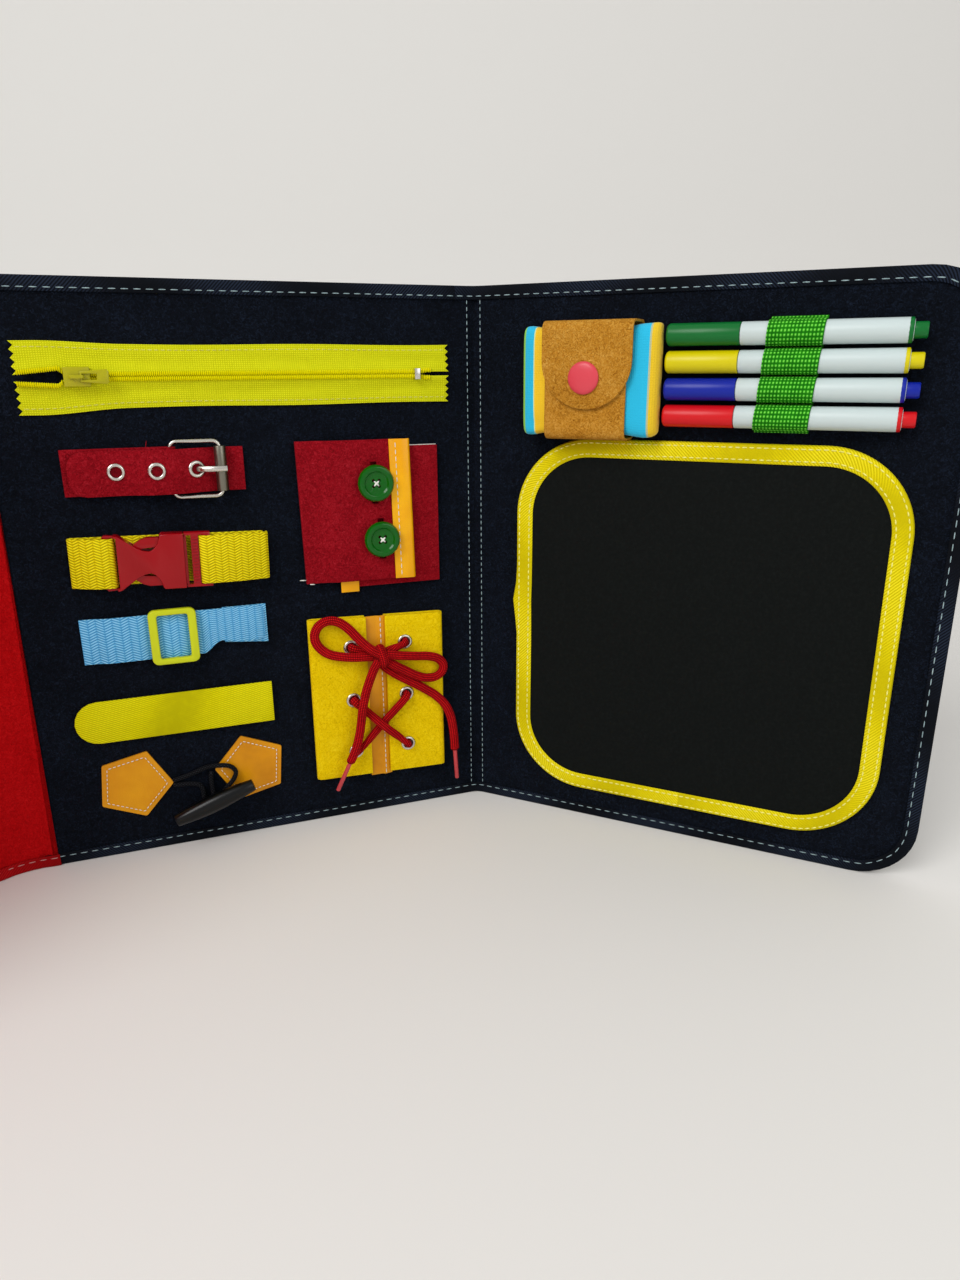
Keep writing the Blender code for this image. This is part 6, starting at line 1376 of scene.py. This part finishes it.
def crossing(start, end, height):
    """The way between two eyelets, at a height in layers where the strands cross."""
    middle = Vector(((start[0] + end[0]) / 2, LYING - height * LAYER, (start[1] + end[1]) / 2))
    return smooth_path(out_of_eyelet(*start, end) + [middle] + out_of_eyelet(*end, start)[::-1])


# %% Crossings, knot, loops and ends
for name, x, height in (("under", -EYELET_X, 0), ("over", EYELET_X, 0.9)):
    way = crossing((x, -EYELET_Z), (-x, 0), height)
    piece = strand("lace_crossing_" + name, way, 2.4, 1.8, ("lace_crossings",) if name == "under" else ())
    lace_cord(piece, way)
knot = bmesh.new()
bmesh.ops.create_uvsphere(knot, u_segments=20, v_segments=12, radius=1,
                          matrix=Matrix.Translation(KNOT) @ Matrix.Diagonal((4.6, 4.0, 4.6, 1)))
knot = finished("lace_knot", knot, LACED, RED_LACE, "red_lace")
turns = [2 * pi * i / 24 for i in range(24)]
wrap_way = [KNOT + Vector((1.1 - 1.1 * sin(t), 4.2 * cos(t), 4.9 * sin(t))) for t in turns]
wrap_way.append(wrap_way[0].copy())
wrap = strand("lace_knot_wrap", wrap_way, 2.65, 1.9)
for name, x in (("left", -EYELET_X), ("right", EYELET_X)):
    out = out_of_eyelet(x, EYELET_Z, (KNOT.x, KNOT.z))[:-1]
    lead_way = smooth_path(out + [Vector((KNOT.x, LYING - 2.2, KNOT.z))])
    strand("lace_lead_" + name, lead_way)
for name, route in LOOP_ROUTES.items():
    piece = strand("lace_loop_" + name, layered(route), replaces=("lace_bow",) if name == "left" else ())
    lace_cord(piece, layered(route))
for name, route in END_ROUTES.items():
    tip = refined("lace_tip_" + name, TIP_PLASTIC, "pink_tip", 0.3)
    lace_cord(strand("lace_end_" + name, layered(route)), layered(route))

# %% [markdown]
# ## Eraser holder
#
# The eraser is a cotton pad with vertical stripes, drawn in by a felt band that is sewn to the page. The
# band's flap comes over the top and is closed by a pink snap, whose stud sits on the band below. The pad is a
# rounded section swept along its length, fuller at its ends, where nothing holds it.

# %% Eraser pad
ERASER = on(RIGHT, 70.4, 251.25)
UPRIGHT = Matrix.Rotation(radians(-90), 4, "Y")
PAD_DEPTH = -10
PAD_STATIONS = ((-35.9, 0.2, 0.84), (-35.6, 0.42, 0.92), (-34.6, 0.66, 0.975), (-32.8, 0.85, 1.0),
                (-30, 0.95, 0.995), (-27, 0.98, 0.97), (-24.6, 0.97, 0.95), (-12, 0.97, 0.94), (0, 0.97, 0.94),
                (12, 0.97, 0.94),
                (20, 0.96, 0.95), (24, 0.97, 0.98), (28, 0.98, 1.0), (31, 0.94, 1.0), (33.4, 0.8, 0.98),
                (35, 0.62, 0.94), (35.7, 0.4, 0.9), (35.9, 0.18, 0.86))


def cushion():
    """The pad: a squarish ring, scaled from station to station, and shut at its ends."""
    first = PAD_STATIONS[0]
    ring = []
    for i in range(40):
        angle = 2 * pi * i / 40
        y = abs(sin(angle)) ** 0.55 * 8.2 * (1 if sin(angle) > 0 else -1)
        z = abs(cos(angle)) ** 0.28 * 27.25 * (1 if cos(angle) > 0 else -1)
        ring.append(Vector((first[0], PAD_DEPTH + y * first[1], z * first[2])))
    moves = []
    for before, after in zip(PAD_STATIONS, PAD_STATIONS[1:]):
        size = Matrix.Diagonal((1, after[1] / before[1], after[2] / before[2], 1))
        moves.append(Matrix.Translation((after[0], PAD_DEPTH, 0)) @ size
                     @ Matrix.Translation((-before[0], -PAD_DEPTH, 0)))
    shape = sweep(ring, moves, closed=True)
    for vertex in shape.verts:
        if vertex.co.x > 32 and vertex.co.z > 0:
            vertex.co.z *= 1 + 0.08 * min(1, (vertex.co.x - 32) / 3.5)
        dent = ((vertex.co.x + 27.5) ** 2 + (vertex.co.z + 20.5) ** 2) / 16
        if vertex.co.y < PAD_DEPTH:
            vertex.co.y += 1.8 * 2.718 ** -dent
    for end in (first[0], -first[0]):
        rim = [e for e in shape.edges if e.is_boundary and all(abs(v.co.x - end) < 0.01 for v in e.verts)]
        bmesh.ops.contextual_create(shape, geom=rim)
    bmesh.ops.recalc_face_normals(shape, faces=shape.faces)
    return shape


pad = finished("eraser_cotton_pad", cushion(), ERASER, PAD_COTTON, "striped_cloth", "eraser_pad", levels=1,
               angle=170, replaces=("eraser_pad",))

# %% [markdown]
# The band and the flap are strips laid round the pad, drawn in z and y and then stood upright. The flap has a
# round end and rides on its own body, so that it can be lifted.

# %% Band, flap and snap
band_way = eased([(8.7, -19.1), (-28.1, -19.1), (-28.1, -0.95), (27.7, -0.95), (28.1, -2.0)], 5, 8)
band = panel(0, length_of(band_way), -24.2, 21.4, step=1.5, rows=(-12, 0, 12))
for vertex in band.verts:
    if vertex.co.z < -12:
        vertex.co.z *= 1 - 0.13 * min(1, max(0, (75 - vertex.co.x) / 20))
finished("eraser_felt_band", laid(band, band_way), ERASER @ UPRIGHT, BROWN_FELT, "brown_felt", "right_page",
         wall=1.2, rounding=0.3, replaces=("eraser_band",),
         cut=(45.6, length_of(band_way), "folded", "eraser_cotton_pad"))
flap_way = eased([(28.55, -2.3), (28.7, -21.2), (-13.25, -21.2)], 5, 8)
flap = panel(0, length_of(flap_way), -24.2, 22.4, (0, 23.2, 23.2, 0), step=1.5)
finished("eraser_felt_flap", laid(flap, flap_way), ERASER @ UPRIGHT, BROWN_FELT, "brown_felt", "eraser_flap",
         wall=1.2, rounding=0.3, replaces=("eraser_flap",),
         cut=(46.6, length_of(flap_way), "folded", "eraser_cotton_pad"))
SNAP = [(0, 2.0), (3, 1.92), (6, 1.62), (7.3, 1.25), (7.9, 0.7), (8.0, 0.25), (7.8, 0)]
finished("eraser_snap_cap", turned(SNAP, 40, set_in(0, -22.1, 1.75)), ERASER, SNAP_PLASTIC, "pink_plastic",
         "eraser_flap", replaces=("snap_cap",))

# %% [markdown]
# ## Markers
#
# Four markers are held by a ribbed elastic that is sewn down between them. Each cap and each barrel is its
# solid with softened edges. The end plug is moulded in the colour of the cap and pressed into the white barrel,
# so it is spun here as a piece of its own.

# %% Markers
MARKERS = on(RIGHT, 108.0, 253.85)
AXIS = -6.8
ALONG = Matrix.Rotation(radians(90), 4, "Z")
ROWS = {"green": 19.05, "yellow": 6.35, "blue": -6.35, "red": -19.05}
PLUG = [(0, 113.95), (3.1, 113.95), (3.55, 113.5), (3.55, 108.2), (4.9, 108.1), (5.4, 107.9), (5.52, 107.5),
        (5.52, 106.4), (5.4, 106.3)]
for colour, z in ROWS.items():
    refined("marker_cap_" + colour, CAP_PLASTIC[colour], "cap_" + colour, 0.35, "marker_cap_" + colour)
    refined("marker_barrel_" + colour, WHITE_PLASTIC, "white_plastic", 0.3, "marker_barrel_" + colour)
    plug = turned(PLUG, 32, Matrix.Translation((0, AXIS, z)) @ ALONG)
    finished("marker_plug_" + colour, plug, MARKERS, CAP_PLASTIC[colour], "cap_" + colour,
             "marker_barrel_" + colour)
end = (26.4, -0.65)
elastic_way = [end]
for z in ROWS.values():
    elastic_way += round_bar(z, AXIS, 5.8, 24, -204, 16) + [(z - 6.35, -1.5)]
elastic_way[-1:] = [(-end[0], end[1]), end]
elastic_band = laid(panel(0, length_of(elastic_way), -70.5, -45.5, step=1.0), elastic_way)
for vertex in elastic_band.verts:
    vertex.co.z -= 0.07 * vertex.co.x
finished("marker_elastic", elastic_band, MARKERS @ UPRIGHT, GREEN_ELASTIC, "green_elastic", "right_page",
         wall=0.4, rounding=0.12, replaces=("marker_loops",),
         cut=(25, length_of(elastic_way), "stretched", "right_page_cover"))

# %% [markdown]
# ## Chalkboard
#
# A sheet of matt black vinyl with wide round corners is bound with yellow twill tape. The tape is folded over
# the edge and sewn with two rows of yellow thread. It starts and ends on the left, where its ends overlap.

# %% Chalkboard
CHALK = on(RIGHT, 127.7, 120)
finished("chalkboard_vinyl", panel(-100.2, 100.2, -101.7, 101.7, (41.7, 41.7, 41.7, 41.7)),
         CHALK @ Matrix.Translation((0, -1.9, 0)), SLATE, "chalkboard", "right_page", wall=1.3,
         replaces=("chalkboard_sheet",), cut=(200.4, 203.4, "laid", "right_page_cover"))
X, Z, CURVE = 100.5, 102, 42
FLAT_X, FLAT_Z = X - CURVE, Z - CURVE
round_board = (straight(FLAT_X, 0, 8) + corner(FLAT_X, -FLAT_Z, 90, 18) + straight(0, 2 * FLAT_Z, 12)
               + corner(FLAT_X, FLAT_Z, 90, 18) + straight(-2 * FLAT_X, 0, 16)
               + corner(-FLAT_X, FLAT_Z, 90, 18) + straight(0, -2 * FLAT_Z, 12)
               + corner(-FLAT_X, -FLAT_Z, 90, 18) + straight(FLAT_X, 0, 8))
BINDING = [(-2.9, 9.5), (-3.15, 8.9), (-3.35, 7.0), (-3.4, 4.5), (-3.3, 2.2), (-2.9, 0.7), (-2.0, 0.2),
           (-1.2, 0.35), (-0.6, 1.2), (-0.55, 6)]
binding = sweep([(0, y, z - Z) for y, z in BINDING], round_board)
bmesh.ops.remove_doubles(binding, verts=binding.verts, dist=0.01)
for vertex in binding.verts:
    bulge = max(0, 1 - abs(vertex.co.z - 9) / 12) if vertex.co.x < -90 else 0
    vertex.co.x -= 2.4 * bulge ** 0.6 * min(1, (-90 - vertex.co.x) / 8)
finished("chalkboard_twill", binding, CHALK, YELLOW_TWILL, "yellow_binding", "right_page", wall=0.5,
         rounding=0.15, replaces=("chalkboard_binding",),
         cut=(length_of(BINDING), length_of(traced((0, 0, -Z), round_board)), "folded", "chalkboard_vinyl"))
rows = None
for z in (1.9, 7.7):
    rows = stitches(traced((0, -3.66 if z > 5 else -3.6, z - Z), round_board), 3.4, 2.6, 0.75, rows)
finished("chalkboard_thread", rows, CHALK, YELLOW_THREAD, "yellow_binding", "right_page")
